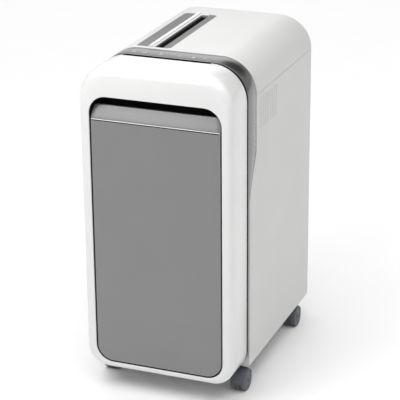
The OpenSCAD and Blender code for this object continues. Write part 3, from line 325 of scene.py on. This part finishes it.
def make_object(name, bm, smooth=35):
    bmesh.ops.remove_doubles(bm, verts=bm.verts, dist=1e-6)
    bmesh.ops.recalc_face_normals(bm, faces=bm.faces)
    mesh = bpy.data.meshes.new(name)
    bm.to_mesh(mesh)
    bm.free()
    obj = bpy.data.objects.new(name, mesh)
    bpy.context.scene.collection.objects.link(obj)
    shade(obj, smooth)
    return obj


def shade(obj, angle=35):
    obj.data.shade_smooth()
    obj.data.set_sharp_from_angle(angle=math.radians(angle))


def loft(bm, loops, ring=False, closed=True, cap=(False, False)):
    """Quads between loops of (x, y, z) in millimetres. ring joins the last loop to the first."""
    rows = [[bm.verts.new([c * MM for c in p]) for p in loop] for loop in loops]
    count = len(rows[0])
    pairs = list(zip(rows, rows[1:])) + ([(rows[-1], rows[0])] if ring else [])
    for a, b in pairs:
        for i in range(count if closed else count - 1):
            j = (i + 1) % count
            quad = [a[i], a[j], b[j], b[i]]
            if len({tuple(v.co) for v in quad}) == 4:
                bm.faces.new(quad)
    if cap[0]:
        bm.faces.new(rows[0])
    if cap[1]:
        bm.faces.new(rows[-1])


def modifier(obj, kind, **settings):
    mod = obj.modifiers.new(kind.lower(), kind)
    for key, value in settings.items():
        setattr(mod, key, value)


def thicken(obj, depth, offset=-1):
    modifier(obj, "SOLIDIFY", thickness=depth * MM, offset=offset, use_even_offset=True)


def soften(obj, width, segments=2, angle=40):
    modifier(obj, "BEVEL", width=width * MM, segments=segments, limit_method="ANGLE",
             angle_limit=math.radians(angle), harden_normals=True, miter_outer="MITER_ARC")


def bake(obj, smooth=35):
    """Applies the modifiers."""
    graph = bpy.context.evaluated_depsgraph_get()
    mesh = bpy.data.meshes.new_from_object(obj.evaluated_get(graph))
    old = obj.data
    obj.modifiers.clear()
    obj.data = mesh
    bpy.data.meshes.remove(old)
    shade(obj, smooth)


def block(bm, p0, p1, bevel=0.0, segments=2):
    """Box between two corners, in millimetres, with bevelled edges."""
    made = bmesh.ops.create_cube(bm, size=1)["verts"]
    for v in made:
        v.co = Vector([(p0[i] if v.co[i] < 0 else p1[i]) * MM for i in range(3)])
    if bevel:
        edges = list({e for v in made for e in v.link_edges})
        bmesh.ops.bevel(bm, geom=edges, offset=bevel * MM, segments=segments, affect="EDGES", profile=0.5)


def flat_polygon(bm, points, z0, z1):
    """Prism over an outline of (x, y) points."""
    loft(bm, [[(x, y, z0) for x, y in points], [(x, y, z1) for x, y in points]], cap=(True, True))


def lathe(bm, profile, centre, axis, steps=48):
    """Turns a profile of (radius, height) pairs about the axis 'x', 'y' or 'z' through centre, in mm."""
    loops = []
    for i in range(steps):
        a = 2 * math.pi * i / steps
        ring = []
        for r, h in profile:
            u, v = r * math.cos(a), r * math.sin(a)
            p = {"x": (h, u, v), "y": (u, h, v), "z": (u, v, h)}[axis]
            ring.append([centre[k] + p[k] for k in range(3)])
        loops.append(ring)
    loft(bm, loops, ring=True, closed=True)


def subtract(obj, cutter_bm, smooth=35):
    bmesh.ops.recalc_face_normals(cutter_bm, faces=cutter_bm.faces)
    mesh = bpy.data.meshes.new("cutter")
    cutter_bm.to_mesh(mesh)
    cutter_bm.free()
    cutter = bpy.data.objects.new("cutter", mesh)
    bpy.context.scene.collection.objects.link(cutter)
    modifier(obj, "BOOLEAN", operation="DIFFERENCE", object=cutter, solver="EXACT")
    bake(obj, smooth)
    bpy.data.objects.remove(cutter)
    bpy.data.meshes.remove(mesh)


def bisect(bm, point, normal, **settings):
    """Cuts the mesh along a plane, given in millimetres."""
    geom = list(bm.verts) + list(bm.edges) + list(bm.faces)
    bmesh.ops.bisect_plane(bm, geom=geom, plane_co=[c * MM for c in point], plane_no=normal, dist=1e-7,
                           **settings)


def piece(obj, body, slot, replaces=(), material=None):
    obj.data.materials.clear()
    obj.data.materials.append(mats[material or slot])
    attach(obj, body)
    if replaces:
        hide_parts(*replaces)


# ------------------------------------------------------------------ bezel

def bezel_loops():
    """Cross-section loops, from the opening's inside edge over the rolled front to the back and in again."""
    roll_side, roll_low, roll_top = 12, 12, 26
    edge_r, wall = 0.9, 3
    inside_y = FRONT + 12
    base = casing_ring(0)

    def roll_depth(point):
        return roll_side + (roll_top - roll_side) * max(point[3], 0) ** 2

    def station(theta):
        s = 1 - math.sin(theta)
        ring = rounded_loop(HALF_W - roll_side * s, GROUND + roll_low * s, TOP - roll_top * s,
                            BEZEL_LOW_R - roll_low * s, TOP_R - (roll_side + roll_top) / 2 * s)
        return [(p[0], FRONT + roll_depth(q) * (1 - math.cos(theta)), p[1]) for p, q in zip(ring, base)]

    loops = [at_y(opening_ring(0), inside_y), at_y(opening_ring(0), FRONT + edge_r)]
    loops += [at_y(opening_ring(edge_r * (1 - math.cos(a))), FRONT + edge_r * (1 - math.sin(a)))
              for a in (0.5, 1.0, math.pi / 2)]
    loops += [station(math.radians(a)) for a in range(0, 91, 9)]
    loops += [at_y(casing_ring(inset), BEZEL_BACK - step)
              for inset, step in ((0, 1.2), (0.35, 0.35), (1.2, 0), (wall, 0))]
    loops += [at_y(casing_ring(wall), FRONT + 34), at_y(casing_ring(12), FRONT + 14)]
    loops += [at_y(opening_ring(2.5), inside_y)]
    return loops


def make_bezel():
    lens_fit = 0.3
    bm = bmesh.new()
    loft(bm, bezel_loops(), ring=True)
    obj = make_object("bezel_shell", bm, 50)
    # Slit that holds the lens
    cut = bmesh.new()
    block(cut, [v - lens_fit for v in lens_lo], (lens_hi[0] + lens_fit, BEZEL_BACK + 2, TOP + 3))
    subtract(obj, cut, 50)
    piece(obj, "cabinet", "white_shell", ["front_bezel"], "gloss_white")


def make_handle_recess():
    """Lining of the recess above the bin's lip, near black as painted shade for the dark hollow; it follows
    the opening's rounded corners.
    """
    wall, fit = 1.6, 0.4
    floor_z, floor_y = 533, LIP_BACK + 6
    back_y = LIP_BACK + 34 - 2.4
    x1 = OPEN_X + fit
    outline = rounded_loop(x1, OPEN_Z0, OPEN_Z1 + fit, OPEN_LOW_R, OPEN_TOP_R)
    upper = [p[:2] for p in outline if p[1] > floor_z + 1]
    upper.sort(key=lambda p: math.atan2(p[1] - floor_z, p[0]))
    upper = [(x1, floor_z)] + upper + [(-x1, floor_z)]
    bm = bmesh.new()
    loft(bm, [at_y(upper, y) for y in (floor_y, back_y - 6, back_y)], cap=(False, True))
    # In front of the floor the lining is open below, where the bin's lip moves
    loft(bm, [at_y(upper, y) for y in (FRONT + 8, floor_y)], closed=False)
    obj = make_object("handle_recess", bm, 40)
    # The lining grows both ways from the outline
    thicken(obj, wall, 0)
    piece(obj, "cabinet", "black_plastic", (), "recess_painted_shade")


def make_opening_shade_edging():
    """Edging inside the bezel's opening, all the way round, near black: painted shade for the gap round the
    bin.
    """
    outside, inside = 0.3, -1.5
    y0, y1 = FRONT + 2.2, FRONT + 13
    profile = [(outside, y0), (inside, y0), (inside, y1), (outside, y1)]
    bm = bmesh.new()
    loft(bm, [at_y(opening_ring(grow), y) for grow, y in profile], ring=True)
    obj = make_object("opening_shade_edging", bm, 40)
    piece(obj, "cabinet", "black_plastic", (), "painted_shade_black")


# ------------------------------------------------------------------ trim band

def sweep_y(z):
    """Where the band's rear edge is at a height."""
    if z >= SWEEP_TOP:
        return BAND_BACK
    if z <= SWEEP_LOW:
        return STRIP_BACK
    u = (z - SWEEP_LOW) / (SWEEP_TOP - SWEEP_LOW)
    return STRIP_BACK + (BAND_BACK - STRIP_BACK) * u ** SWEEP_POWER


def make_band():
    """Band round the casing; its front edge is straight and its rear edge follows the sweep."""
    front_y, rear_gap, wall = BAND_FRONT + 1.3, 0.7, 2.2
    # Rounding of both edges, as (inset, distance from the edge)
    edge = [(0.5, 0), (0.15, 0.15), (0, 0.5)]

    def front(inset, back):
        return at_y(casing_ring(inset, arc=20, side=90), front_y + back)

    def rear(inset, back):
        return [(p[0], sweep_y(p[1]) - rear_gap - back, p[1]) for p in casing_ring(inset, arc=20, side=90)]

    loops = [front(inset, back) for inset, back in edge]
    loops += [rear(inset, back) for inset, back in reversed(edge)]
    loops += [rear(wall, 0), front(wall, 0)]
    bm = bmesh.new()
    loft(bm, loops, ring=True)
    obj = make_object("band_shell", bm, 45)
    piece(obj, "cabinet", "satin_trim", ["trim_band"])


def make_groove_ring():
    """Near-black ring at the bottom of the groove between the bezel and the band, raised in front of the
    band: painted shade for the groove.
    """
    floor, rim, inside = 2.4, 0.4, 5.4
    y0, y1 = BEZEL_BACK + 0.3, BAND_FRONT + 1.2
    profile = [(floor, y0), (floor, BAND_FRONT), (rim, BAND_FRONT), (rim, y1), (inside, y1), (inside, y0)]
    bm = bmesh.new()
    loft(bm, [at_y(casing_ring(inset, arc=20), y) for inset, y in profile], ring=True)
    obj = make_object("groove_band", bm, 40)
    piece(obj, "cabinet", "black_plastic", ["groove_ring"], "painted_shade_black")


def ring_symbol(bm, cx, cy, r, width, heights, start, sweep, steps=24):
    outer, inner = ([polar(cx, cy, radius, start + sweep * i / steps) for i in range(steps + 1)]
                    for radius in (r, r - width))
    flat_polygon(bm, outer + inner[::-1], *heights)


def make_icons():
    """Plain touch symbols: a power ring, a double arrow, bars, a ring, a triangle and an open ring."""
    heights = (TOP - 0.3, TOP + 0.05)
    cy = (icons_lo[1] + icons_hi[1]) / 2
    power_x, arrow_x, bars_x, ring_x, triangle_x, open_x = -79, -57, -26, 10, 37, 59
    bm = bmesh.new()
    ring_symbol(bm, power_x, cy, 3.4, 0.7, heights, 110, 320)
    flat_polygon(bm, rectangle(power_x - 0.35, cy, power_x + 0.35, cy + 4), *heights)
    for x in (arrow_x - 2, arrow_x + 2):
        flat_polygon(bm, [(x - 1.7, cy - 2.8), (x + 1.7, cy), (x - 1.7, cy + 2.8)], *heights)
    for k in range(3):
        y = cy - 2.6 + 2.2 * k
        flat_polygon(bm, rectangle(bars_x - 3.6, y, bars_x + 3.6, y + 0.8), *heights)
    ring_symbol(bm, ring_x, cy, 3.2, 0.6, heights, 0, 359)
    triangle = [(triangle_x - 3, cy - 2.6), (triangle_x + 3, cy - 2.6), (triangle_x, cy + 2.8)]
    flat_polygon(bm, triangle, *heights)
    ring_symbol(bm, open_x, cy, 3.2, 0.6, heights, 30, 280)
    obj = make_object("touch_symbols", bm, 30)
    piece(obj, "cabinet", "icon_lens", ["touch_icons"])


def make_lens():
    bm = bmesh.new()
    block(bm, lens_lo, lens_hi, 0.4)
    obj = make_object("lens_strip", bm)
    piece(obj, "cabinet", "lens_black", ["status_lens"])


# ------------------------------------------------------------------ cabinet shells

def body_loops():
    """Outer surface of the cabinet behind the band, front edge to rear."""
    counts = {"arc": 18, "side": 100}
    rear_foot_r = FOOT_R + 14
    base = casing_ring(0, FOOT_R, **counts)

    def roll_depth(point):
        end = ROLL_TOP if point[3] >= 0 else ROLL_FOOT
        return ROLL_SIDE + (end - ROLL_SIDE) * point[3] ** 2

    def station(theta):
        s = 1 - math.sin(theta)
        ring = rounded_loop(HALF_W - ROLL_SIDE * s, GROUND + ROLL_FOOT * s, TOP - ROLL_TOP * s,
                            FOOT_R + (rear_foot_r - FOOT_R) * s,
                            TOP_R - (ROLL_SIDE + ROLL_TOP) / 2 * s, **counts)
        return [(p[0], REAR - roll_depth(q) * (1 - math.cos(theta)), p[1]) for p, q in zip(ring, base)]

    def front(inset, back):
        ring = casing_ring(inset, FOOT_R, **counts)
        return [(p[0], sweep_y(q[1]) + GAP + back, p[1]) for p, q in zip(ring, base)]

    rounded_edge = [front(1.3, 0), front(0.65, 0.17), front(0.17, 0.65), front(0, 1.3)]
    return rounded_edge + [station(math.radians(a)) for a in range(90, -1, -9)]


def body_surface(keep):
    """The cabinet's surface, cut down to the side that each (point, normal) plane keeps, in millimetres."""
    bm = bmesh.new()
    loft(bm, body_loops(), cap=(False, True))
    for point, normal in keep:
        bisect(bm, point, [-c for c in normal], clear_outer=True)
    return bm


def make_top_cover():
    fit = 0.3
    bm = body_surface([((0, 0, SEAM_Z + GAP / 2), (0, 0, 1))])
    obj = make_object("top_shell", bm, 40)
    thicken(obj, WALL)
    bake(obj, 40)
    cut = bmesh.new()
    outline = rounded_rectangle(PLATE_X0 - fit, PLATE_Y0 - fit, PLATE_X1 + fit, PLATE_Y1 + fit, PLATE_R + fit)
    flat_polygon(cut, outline, TOP - 12, TOP + 5)
    subtract(obj, cut, 40)
    piece(obj, "cabinet", "white_shell", ["top_cover"])


def groove_cutter(side):
    """Cutter for the blind upright grooves in a side panel."""
    count, pitch, width, depth = 10, 10, 2.4, 1.2
    x0, x1 = sorted((side * (HALF_W - depth), side * (HALF_W + 2)))
    bm = bmesh.new()
    for i in range(count):
        y = BAND_BACK + 16 + pitch * i
        block(bm, (x0, y, SEAM_Z - 70), (x1, y + width, SEAM_Z - 10), 0.6, 2)
    return bm


def clear_underside(bm, side):
    """Takes away the side shell's floor where the base tray is."""
    bisect(bm, (side * TRAY_EDGE, 0, 0), (side, 0, 0))
    bisect(bm, (0, REAR_FOOT_Y, 0), (0, 1, 0))
    under = []
    for face in bm.faces:
        x, y, z = face.calc_center_median() / MM
        if z < GROUND + 0.5 and abs(x) < TRAY_EDGE and y < REAR_FOOT_Y:
            under.append(face)
    bmesh.ops.delete(bm, geom=under, context="FACES")


def make_gusset(side, name):
    """Small wall that closes the corner behind the rounded bezel."""
    wall = 2.4
    y0 = STRIP_BACK + GAP
    cx, cz, r = side * (HALF_W - BEZEL_LOW_R), GROUND + BEZEL_LOW_R, BEZEL_LOW_R - 5
    arc = [polar(0, 0, r, a) for a in range(0, 91, 9)]
    foot = [polar(0, 0, FOOT_R, a) for a in range(0, 91, 15)]
    outline = [(cx + side * u, cz - v) for u, v in arc]
    outline += [(side * (HALF_W - FOOT_R) + side * v, GROUND + FOOT_R - u) for u, v in foot]
    bm = bmesh.new()
    loft(bm, [at_y(outline, y) for y in (y0, y0 + wall)], cap=(True, True))
    gusset = make_object(name, bm, 40)
    soften(gusset, 0.4, 2, 50)
    piece(gusset, "cabinet", "white_shell")


def make_side(side, name, node):
    x = side * (PANEL_X + GAP / 2)
    bm = body_surface([((x, 0, 0), (side, 0, 0)), ((0, 0, SEAM_Z - GAP / 2), (0, 0, -1))])
    clear_underside(bm, side)
    obj = make_object(name, bm, 40)
    thicken(obj, WALL)
    bake(obj, 40)
    # The thickened wall stays within the casing's width
    for v in obj.data.vertices:
        v.co.x = max(-HALF_W * MM, min(HALF_W * MM, v.co.x))
    subtract(obj, groove_cutter(side), 40)
    piece(obj, "cabinet", "white_shell", [node])
    make_gusset(side, name + "_gusset")


def rear_openings():
    """Cutter for the vents, and for the inlet and the switch."""
    vents, vent_pitch, vent_half, vent_height, fit = 9, 12, 70, 4, 0.15
    cut = bmesh.new()
    for i in range(vents):
        z = GROUND + 120 + vent_pitch * i
        block(cut, (-vent_half, REAR - 6, z), (vent_half, REAR + 4, z + vent_height), 1.4, 3)
    for node in ("power_inlet", "switch_housing"):
        lo, hi = span(node)
        block(cut, (lo[0] - fit, REAR - 6, lo[2] - fit), (hi[0] + fit, REAR + 4, hi[2] + fit))
    return cut


def rear_screw_holes():
    """Cutter for the six case screws' holes; its thin bore leaves a splinter in each hole."""
    bore, hole_r = 0.001, 4.3
    profile = [(bore, -6), (hole_r, -6), (hole_r, 3), (bore, 3)]
    cut = bmesh.new()
    for side in (-1, 1):
        for z in (GROUND + 52, (GROUND + SEAM_Z) / 2, SEAM_Z - 14):
            lathe(cut, profile, (side * (PANEL_X - 8), REAR, z), "y", 24)
    return cut


def make_rear():
    x1 = PANEL_X - GAP / 2
    bm = body_surface([((x1, 0, 0), (-1, 0, 0)), ((-x1, 0, 0), (1, 0, 0)),
                       ((0, 0, SEAM_Z - GAP / 2), (0, 0, -1)), ((0, REAR_FOOT_Y, 0), (0, 1, 0))])
    obj = make_object("rear_shell", bm, 40)
    thicken(obj, WALL)
    bake(obj, 40)
    subtract(obj, rear_openings(), 40)
    subtract(obj, rear_screw_holes(), 40)
    modifier(obj, "WEIGHTED_NORMAL", keep_sharp=True, weight=100)
    piece(obj, "cabinet", "white_shell", ["rear_panel"])


# ------------------------------------------------------------------ paper entry

def make_throat_plate():
    thick = 3.4
    bm = bmesh.new()
    outline = rounded_rectangle(PLATE_X0, PLATE_Y0, PLATE_X1, PLATE_Y1, PLATE_R)
    flat_polygon(bm, outline, PLATE_TOP - thick, PLATE_TOP)
    obj = make_object("throat_plate_top", bm)
    cut = bmesh.new()
    block(cut, (SLOT_X0, SLOT_Y0, TOP - 10), (SLOT_X1, SLOT_Y1, TOP + 3))
    subtract(obj, cut)
    soften(obj, 0.5, 3, 40)
    piece(obj, "cabinet", "throat_dark", ["throat_plate"])


def make_throat_ribs():
    """Fine ribs across the plate, either side of the slot and the guide."""
    pitch, width, sunk, raised, end_margin = 3.05, 1.1, 0.2, 0.28, 4
    left_x1 = guide_lo[0] - 1.2
    right_x0 = SLOT_X1 + 1.5
    z0, z1 = PLATE_TOP - sunk, PLATE_TOP + raised
    bm = bmesh.new()
    y = PLATE_Y0 + end_margin
    while y < PLATE_Y1 - end_margin:
        near_end = min(y - PLATE_Y0, PLATE_Y1 - y) < PLATE_R
        inset = 3 if near_end else 1.2
        block(bm, (PLATE_X0 + inset, y, z0), (left_x1, y + width, z1), 0.12, 1)
        block(bm, (right_x0, y, z0), (PLATE_X1 - inset, y + width, z1), 0.12, 1)
        y += pitch
    ribs = make_object("throat_ribs", bm)
    piece(ribs, "cabinet", "throat_dark")


def make_guide():
    """White bevelled ridge left of the slot, with a step towards it."""
    x0, z0 = guide_lo[0], PLATE_TOP
    y0, y1 = guide_lo[1] + 0.4, guide_hi[1] - 0.4
    profile = [(0, 0), (14.6, 0), (14.6, 1.6), (13.6, 2.0), (12.0, 2.1), (11.4, 4.2), (10.6, 4.9), (5.6, 4.9),
               (4.6, 4.5), (0.6, 1.4), (0, 0.9)]
    outline = [(x0 + u, z0 + v) for u, v in profile]
    bm = bmesh.new()
    loft(bm, [at_y(outline, y) for y in (y0, y0 + 0.6, y1 - 0.6, y1)], cap=(True, True))
    obj = make_object("guide_ridge", bm, 30)
    soften(obj, 0.3, 2, 30)
    piece(obj, "cabinet", "guide_white", ["paper_guide"])


def make_slot_ring():
    """U-shaped bead round the slot's rear end."""
    cx, cy = (SLOT_X0 + SLOT_X1) / 2, SLOT_Y1 + 1
    reach_x, reach_y, bead_r = 7.2, 5.4, 1.1
    steps, bead_steps = 20, 10
    z = PLATE_TOP + 0.9
    loops = []
    for i in range(steps + 1):
        a = math.pi * i / steps
        x, y = cx - reach_x * math.cos(a), cy + reach_y * math.sin(a)
        loop = []
        for k in range(bead_steps):
            u, v = polar(0, 0, bead_r, 360 * k / bead_steps)
            loop.append((x - u * math.cos(a), y + u * math.sin(a), z + v))
        loops.append(loop)
    bm = bmesh.new()
    loft(bm, loops, cap=(True, True))
    ring = make_object("slot_end_ring", bm, 50)
    piece(ring, "cabinet", "guide_white")


# ------------------------------------------------------------------ bin front

def bin_surface():
    """Flat front with rounded lower corners, a soft crease and a lip that slopes back."""
    gap, crease_zone, columns = 3.0, 8, 24
    x1, z0, z1 = OPEN_X - gap, OPEN_Z0 + gap, OPEN_Z1 - gap
    low_r, top_r = OPEN_LOW_R - gap, OPEN_TOP_R - gap
    face, lip_top = bin_lo[1], bin_hi[2]
    lip_slope = (LIP_BACK - 4.5 - face) / (lip_top - CREASE_Z)
    low_z, zone_z0, zone_z1 = z0 + low_r, CREASE_Z - crease_zone, CREASE_Z + crease_zone

    def half(z):
        if z < low_z:
            return x1 - low_r + math.sqrt(max(0, low_r ** 2 - (low_z - z) ** 2))
        if z > z1 - top_r:
            return x1 - top_r + math.sqrt(max(0, top_r ** 2 - (z - z1 + top_r) ** 2))
        return x1

    def depth(z):
        d = (z - CREASE_Z) * lip_slope
        return face + (d + math.sqrt(d * d + CREASE_BLEND)) / 2

    heights = [z0 + low_r * (1 - math.cos(math.radians(a))) for a in range(0, 91, 6)]
    for start, end, count in ((low_z, zone_z0, 30), (zone_z0, zone_z1, 32), (zone_z1, lip_top, 8)):
        heights += [start + (end - start) * i / count for i in range(1, count + 1)]
    across = [2 * i / columns - 1 for i in range(columns + 1)]
    bm = bmesh.new()
    loft(bm, [[(max(half(z), 0.01) * u, depth(z), z) for u in across] for z in heights], closed=False)
    edge = [e for e in bm.edges if e.is_boundary]
    for v in bmesh.ops.extrude_edge_only(bm, edges=edge)["geom"]:
        if isinstance(v, bmesh.types.BMVert):
            v.co.y = LIP_BACK * MM
    return bm


def make_shadow_line():
    """Near-black strip in the groove under the lip: painted shadow, deeper than the groove's own shade."""
    half, face = OPEN_X - 6, bin_lo[1]
    bm = bmesh.new()
    block(bm, (-half, face + 1.2, CREASE_Z - 2.7), (half, face + 1.7, CREASE_Z - 0.8))
    shadow_strip = make_object("bin_shadow_line", bm)
    piece(shadow_strip, "bin", "bin_grey", (), "painted_shade_black")


def make_lip_bead():
    """Bead along the lip's lower edge; its light grey is a painted highlight, on top of the highlight its
    round catches.
    """
    half = OPEN_X - 4.2
    centre_y, centre_z = bin_lo[1] + 0.75, CREASE_Z + 0.1
    bead_y, bead_z = 1.0, 0.9
    outline = []
    for degrees in range(0, 360, 20):
        a = math.radians(degrees)
        outline.append((centre_y - bead_y * math.cos(a), centre_z + bead_z * math.sin(a)))
    bm = bmesh.new()
    loft(bm, [[(x, y, z) for y, z in outline] for x in (-half, half)], cap=(True, True))
    bead = make_object("bin_lip_bead", bm, 50)
    piece(bead, "bin", "bin_grey", (), "bin_painted_highlight")


def make_bin_bosses():
    """Screw bosses between the panel and the tub."""
    bore, boss_r, boss_x = 2, 5, 92
    tub_lo, tub_hi = span("bin_tub")
    y0, y1 = bin_lo[1] + 8, tub_lo[1]
    bm = bmesh.new()
    for side in (-1, 1):
        for z in (tub_lo[2] + 40, tub_hi[2] - 30):
            lathe(bm, [(bore, y0), (boss_r, y0), (boss_r, y1), (bore, y1)], (side * boss_x, 0, z), "y", 24)
    bosses = make_object("bin_panel_bosses", bm)
    piece(bosses, "bin", "bin_grey")


def make_bin_front():
    face = bin_lo[1]
    obj = make_object("bin_panel", bin_surface(), 32)
    thicken(obj, 2.8)
    soften(obj, 0.8, 3, 40)
    bake(obj, 32)
    cut = bmesh.new()
    block(cut, (-OPEN_X, face - 1, CREASE_Z - 2.6), (OPEN_X, face + 1.5, CREASE_Z - 0.9))
    subtract(obj, cut, 32)
    make_shadow_line()
    make_lip_bead()
    make_bin_bosses()
    piece(obj, "bin", "bin_grey", ["bin_front"])


# ------------------------------------------------------------------ casters

def hood_section(w, outer, inner, web):
    """Section of the hood as (across, radius), of half-width w: crown, turned edges and the web's root."""
    lip, edge = 1.2, 0.45
    crown = [(w, inner - lip), (w, outer - 2.2), (w - 0.6, outer - 0.9), (w - 2.2, outer - 0.1),
             (w / 3, outer)]
    under = [(w - edge, inner - lip), (w - edge, inner), (web, inner), (web, inner - 0.2)]
    return [(-u, r) for u, r in crown] + crown[::-1] + under + [(-u, r) for u, r in reversed(under)]


def make_fork(tag, x, ay, az):
    """Hooded fork: a crown over both wheels that narrows to a foot at the front, with a web and a stem."""
    lo, hi = span("caster_fork_" + tag)
    half = (hi[0] - lo[0]) / 2
    outer, inner, web, web_r = 22.1, 20.6, 3.4, 20.5
    start, sweep, steps = 188, -196, 36
    bm = bmesh.new()
    loops = []
    for i in range(steps + 1):
        t = i / steps
        a = math.radians(start + sweep * t)
        # Width shrinks to the foot at the front and a little at the rear
        w = half - 5.5 * max(0, 0.3 - t) / 0.3 - 2.0 * max(0, t - 0.8) / 0.2
        section = hood_section(w, outer, inner, web)
        loops.append([(x + u, ay + r * math.cos(a), az + r * math.sin(a)) for u, r in section])
    loft(bm, loops, cap=(True, True))
    # Web between the wheels
    disc = [polar(ay, az, web_r, a) for a in range(-50, 231, 10)]
    loft(bm, [[(x + u, y, z) for y, z in disc] for u in (-web, web)], cap=(True, True))
    # Column and stem on the swivel's axis
    bore, column_r, column_top, stem_r = 0.001, 8.9, 42, 4
    stem = [(bore, az + 8), (column_r, az + 8), (column_r, column_top - 0.8), (column_r - 0.8, column_top),
            (stem_r, column_top), (stem_r, hi[2] - 0.6), (stem_r - 0.6, hi[2]), (bore, hi[2])]
    lathe(bm, stem, (x, ay + CASTER_TRAIL, 0), "z", 40)
    hood = make_object("caster_hood_" + tag, bm, 45)
    piece(hood, "caster_" + tag, "fork_slate", ["caster_fork_" + tag])


def make_wheels(tag, x, ay, az, r):
    """Twin wheels: a tread with a soft crown, a recessed face and a hub."""
    axle_r, near, far, hub_r = 3.06, 4.0, 15.0, 9.0
    profile = [(axle_r, near), (r - 4, near), (r - 1.2, near + 0.1), (r - 0.3, near + 0.9), (r, near + 2.4),
               (r, far - 2.4), (r - 0.3, far - 0.9), (r - 1.2, far - 0.1), (r - 2.6, far),
               (r - 3.2, far - 0.8), (r - 5.0, far - 1.2), (hub_r, far - 1.2), (hub_r - 0.8, far - 0.2),
               (6.5, far), (axle_r, far)]
    bm = bmesh.new()
    for side in (-1, 1):
        lathe(bm, [(p, side * h) for p, h in profile], (x, ay, az), "x", 56)
    obj = make_object("wheels_" + tag + "_treads", bm, 40)
    piece(obj, "wheels_" + tag, "tyre_slate", ["caster_wheels_" + tag])


def make_casters():
    for tag in ("fl", "fr", "rl", "rr"):
        lo, hi = span("caster_wheels_" + tag)
        x, ay, az = [(a + b) / 2 for a, b in zip(lo, hi)]
        make_wheels(tag, x, ay, az, (hi[2] - lo[2]) / 2)
        make_fork(tag, x, ay, az)


# ------------------------------------------------------------------ carried-over CAD nodes

def smooth_cad():
    """Smooth shading, and softened edges in mm, for the CAD nodes that no piece replaces."""
    edge_width = {"base_tray": 0.5, "bin_tub": 0.7, "power_inlet": 0.3, "switch_housing": 0.3, "rocker": 0.3,
                  "deck": 0.3, "frame_left": 0.3, "frame_right": 0.3, "motor_can": 0.5, "bin_runners": 0.5}
    for name, obj in nodes.items():
        if obj.hide_render:
            continue
        shade(obj, 32)
        if name in edge_width:
            modifier(obj, "BEVEL", width=edge_width[name] * MM, segments=2, limit_method="ANGLE",
                     angle_limit=math.radians(40), harden_normals=True)


# ------------------------------------------------------------------ build

make_bezel()
make_handle_recess()
make_opening_shade_edging()
make_groove_ring()
make_band()
make_icons()
make_lens()
make_top_cover()
make_side(1, "side_shell_right", "side_panel_right")
make_side(-1, "side_shell_left", "side_panel_left")
make_rear()
make_throat_plate()
make_throat_ribs()
make_guide()
make_slot_ring()
make_bin_front()
make_casters()
smooth_cad()


# ------------------------------------------------------------------ stage

def make_floor():
    bm = bmesh.new()
    bmesh.ops.create_grid(bm, x_segments=1, y_segments=1, size=12)
    floor = make_object("floor", bm)
    paint = surface("floor_white", (0.93, 0.93, 0.93), 0.7, spread=0.004, grain=60, bump=0)
    floor.data.materials.append(paint)


def sky_patch(tree, coords, direction, inner, outer, base, value):
    """Grey level that is value within inner degrees of a direction of the sky, and base beyond outer."""
    dot = tree.nodes.new("ShaderNodeVectorMath")
    dot.operation = "DOT_PRODUCT"
    dot.inputs[1].default_value = Vector(direction).normalized()
    tree.links.new(coords, dot.inputs[0])
    fade = tree.nodes.new("ShaderNodeMapRange")
    fade.interpolation_type = "SMOOTHSTEP"
    fade.inputs["From Min"].default_value = math.cos(math.radians(outer))
    fade.inputs["From Max"].default_value = math.cos(math.radians(inner))
    fade.inputs["To Min"].default_value = base
    fade.inputs["To Max"].default_value = value
    tree.links.new(dot.outputs["Value"], fade.inputs["Value"])
    return fade.outputs["Result"]


def make_world():
    """Plain white for the camera; for light and reflections a grey sky with a bright and two dark patches."""
    world = bpy.data.worlds.new("studio")
    world.use_nodes = True
    tree = world.node_tree
    ground = tree.nodes["Background"]
    coords = tree.nodes.new("ShaderNodeTexCoord").outputs["Generated"]
    # A bright patch behind the cabinet, a dark one above it for the trim band, and a dark one at the left
    level = sky_patch(tree, coords, (-0.36, 0.86, 0.36), 10, 27, 0.42, 1.2)
    dark_patches = (((0.145, 0.866, 0.479), 9, 24, 1.0, 0.06), ((-0.97, -0.15, 0.15), 30, 75, 1.0, 0.2))
    for patch in dark_patches:
        product = tree.nodes.new("ShaderNodeMath")
        product.operation = "MULTIPLY"
        tree.links.new(level, product.inputs[0])
        tree.links.new(sky_patch(tree, coords, *patch), product.inputs[1])
        level = product.outputs["Value"]
    tree.links.new(level, ground.inputs["Color"])
    ground.inputs["Strength"].default_value = 1.0
    backdrop = tree.nodes.new("ShaderNodeBackground")
    backdrop.inputs["Color"].default_value = (1, 1, 1, 1)
    backdrop.inputs["Strength"].default_value = 1.0
    path = tree.nodes.new("ShaderNodeLightPath")
    blend = tree.nodes.new("ShaderNodeMixShader")
    tree.links.new(path.outputs["Is Camera Ray"], blend.inputs["Fac"])
    tree.links.new(ground.outputs["Background"], blend.inputs[1])
    tree.links.new(backdrop.outputs["Background"], blend.inputs[2])
    tree.links.new(blend.outputs["Shader"], tree.nodes["World Output"].inputs["Surface"])
    bpy.context.scene.world = world


def add_light(name, kind, energy, direction):
    """Lamp of one kind that shines along a direction."""
    data = bpy.data.lights.new(name, kind)
    data.energy = energy
    lamp = bpy.data.objects.new(name, data)
    bpy.context.scene.collection.objects.link(lamp)
    lamp.rotation_mode = "QUATERNION"
    lamp.rotation_quaternion = direction.to_track_quat("-Z", "Y")
    return lamp


def area(name, azimuth, elevation, distance, size, power):
    """Square area light that looks at the object's middle."""
    centre = Vector((0, 0, 0.33))
    back = towards(azimuth, elevation)
    lamp = add_light(name, "AREA", power, -back)
    lamp.data.shape = "RECTANGLE"
    lamp.data.size = lamp.data.size_y = size
    lamp.location = centre + back * distance


make_floor()
make_world()
area("key", -27, 44, 1.2, 0.6, 4.2)
area("side", 78, 60, 2.0, 0.9, 3)
overhead = add_light("overhead", "SUN", 2.2, Vector((0.05, 0.12, -1)))
overhead.data.angle = math.radians(80)
bpy.context.scene.view_settings.view_transform = "Standard"
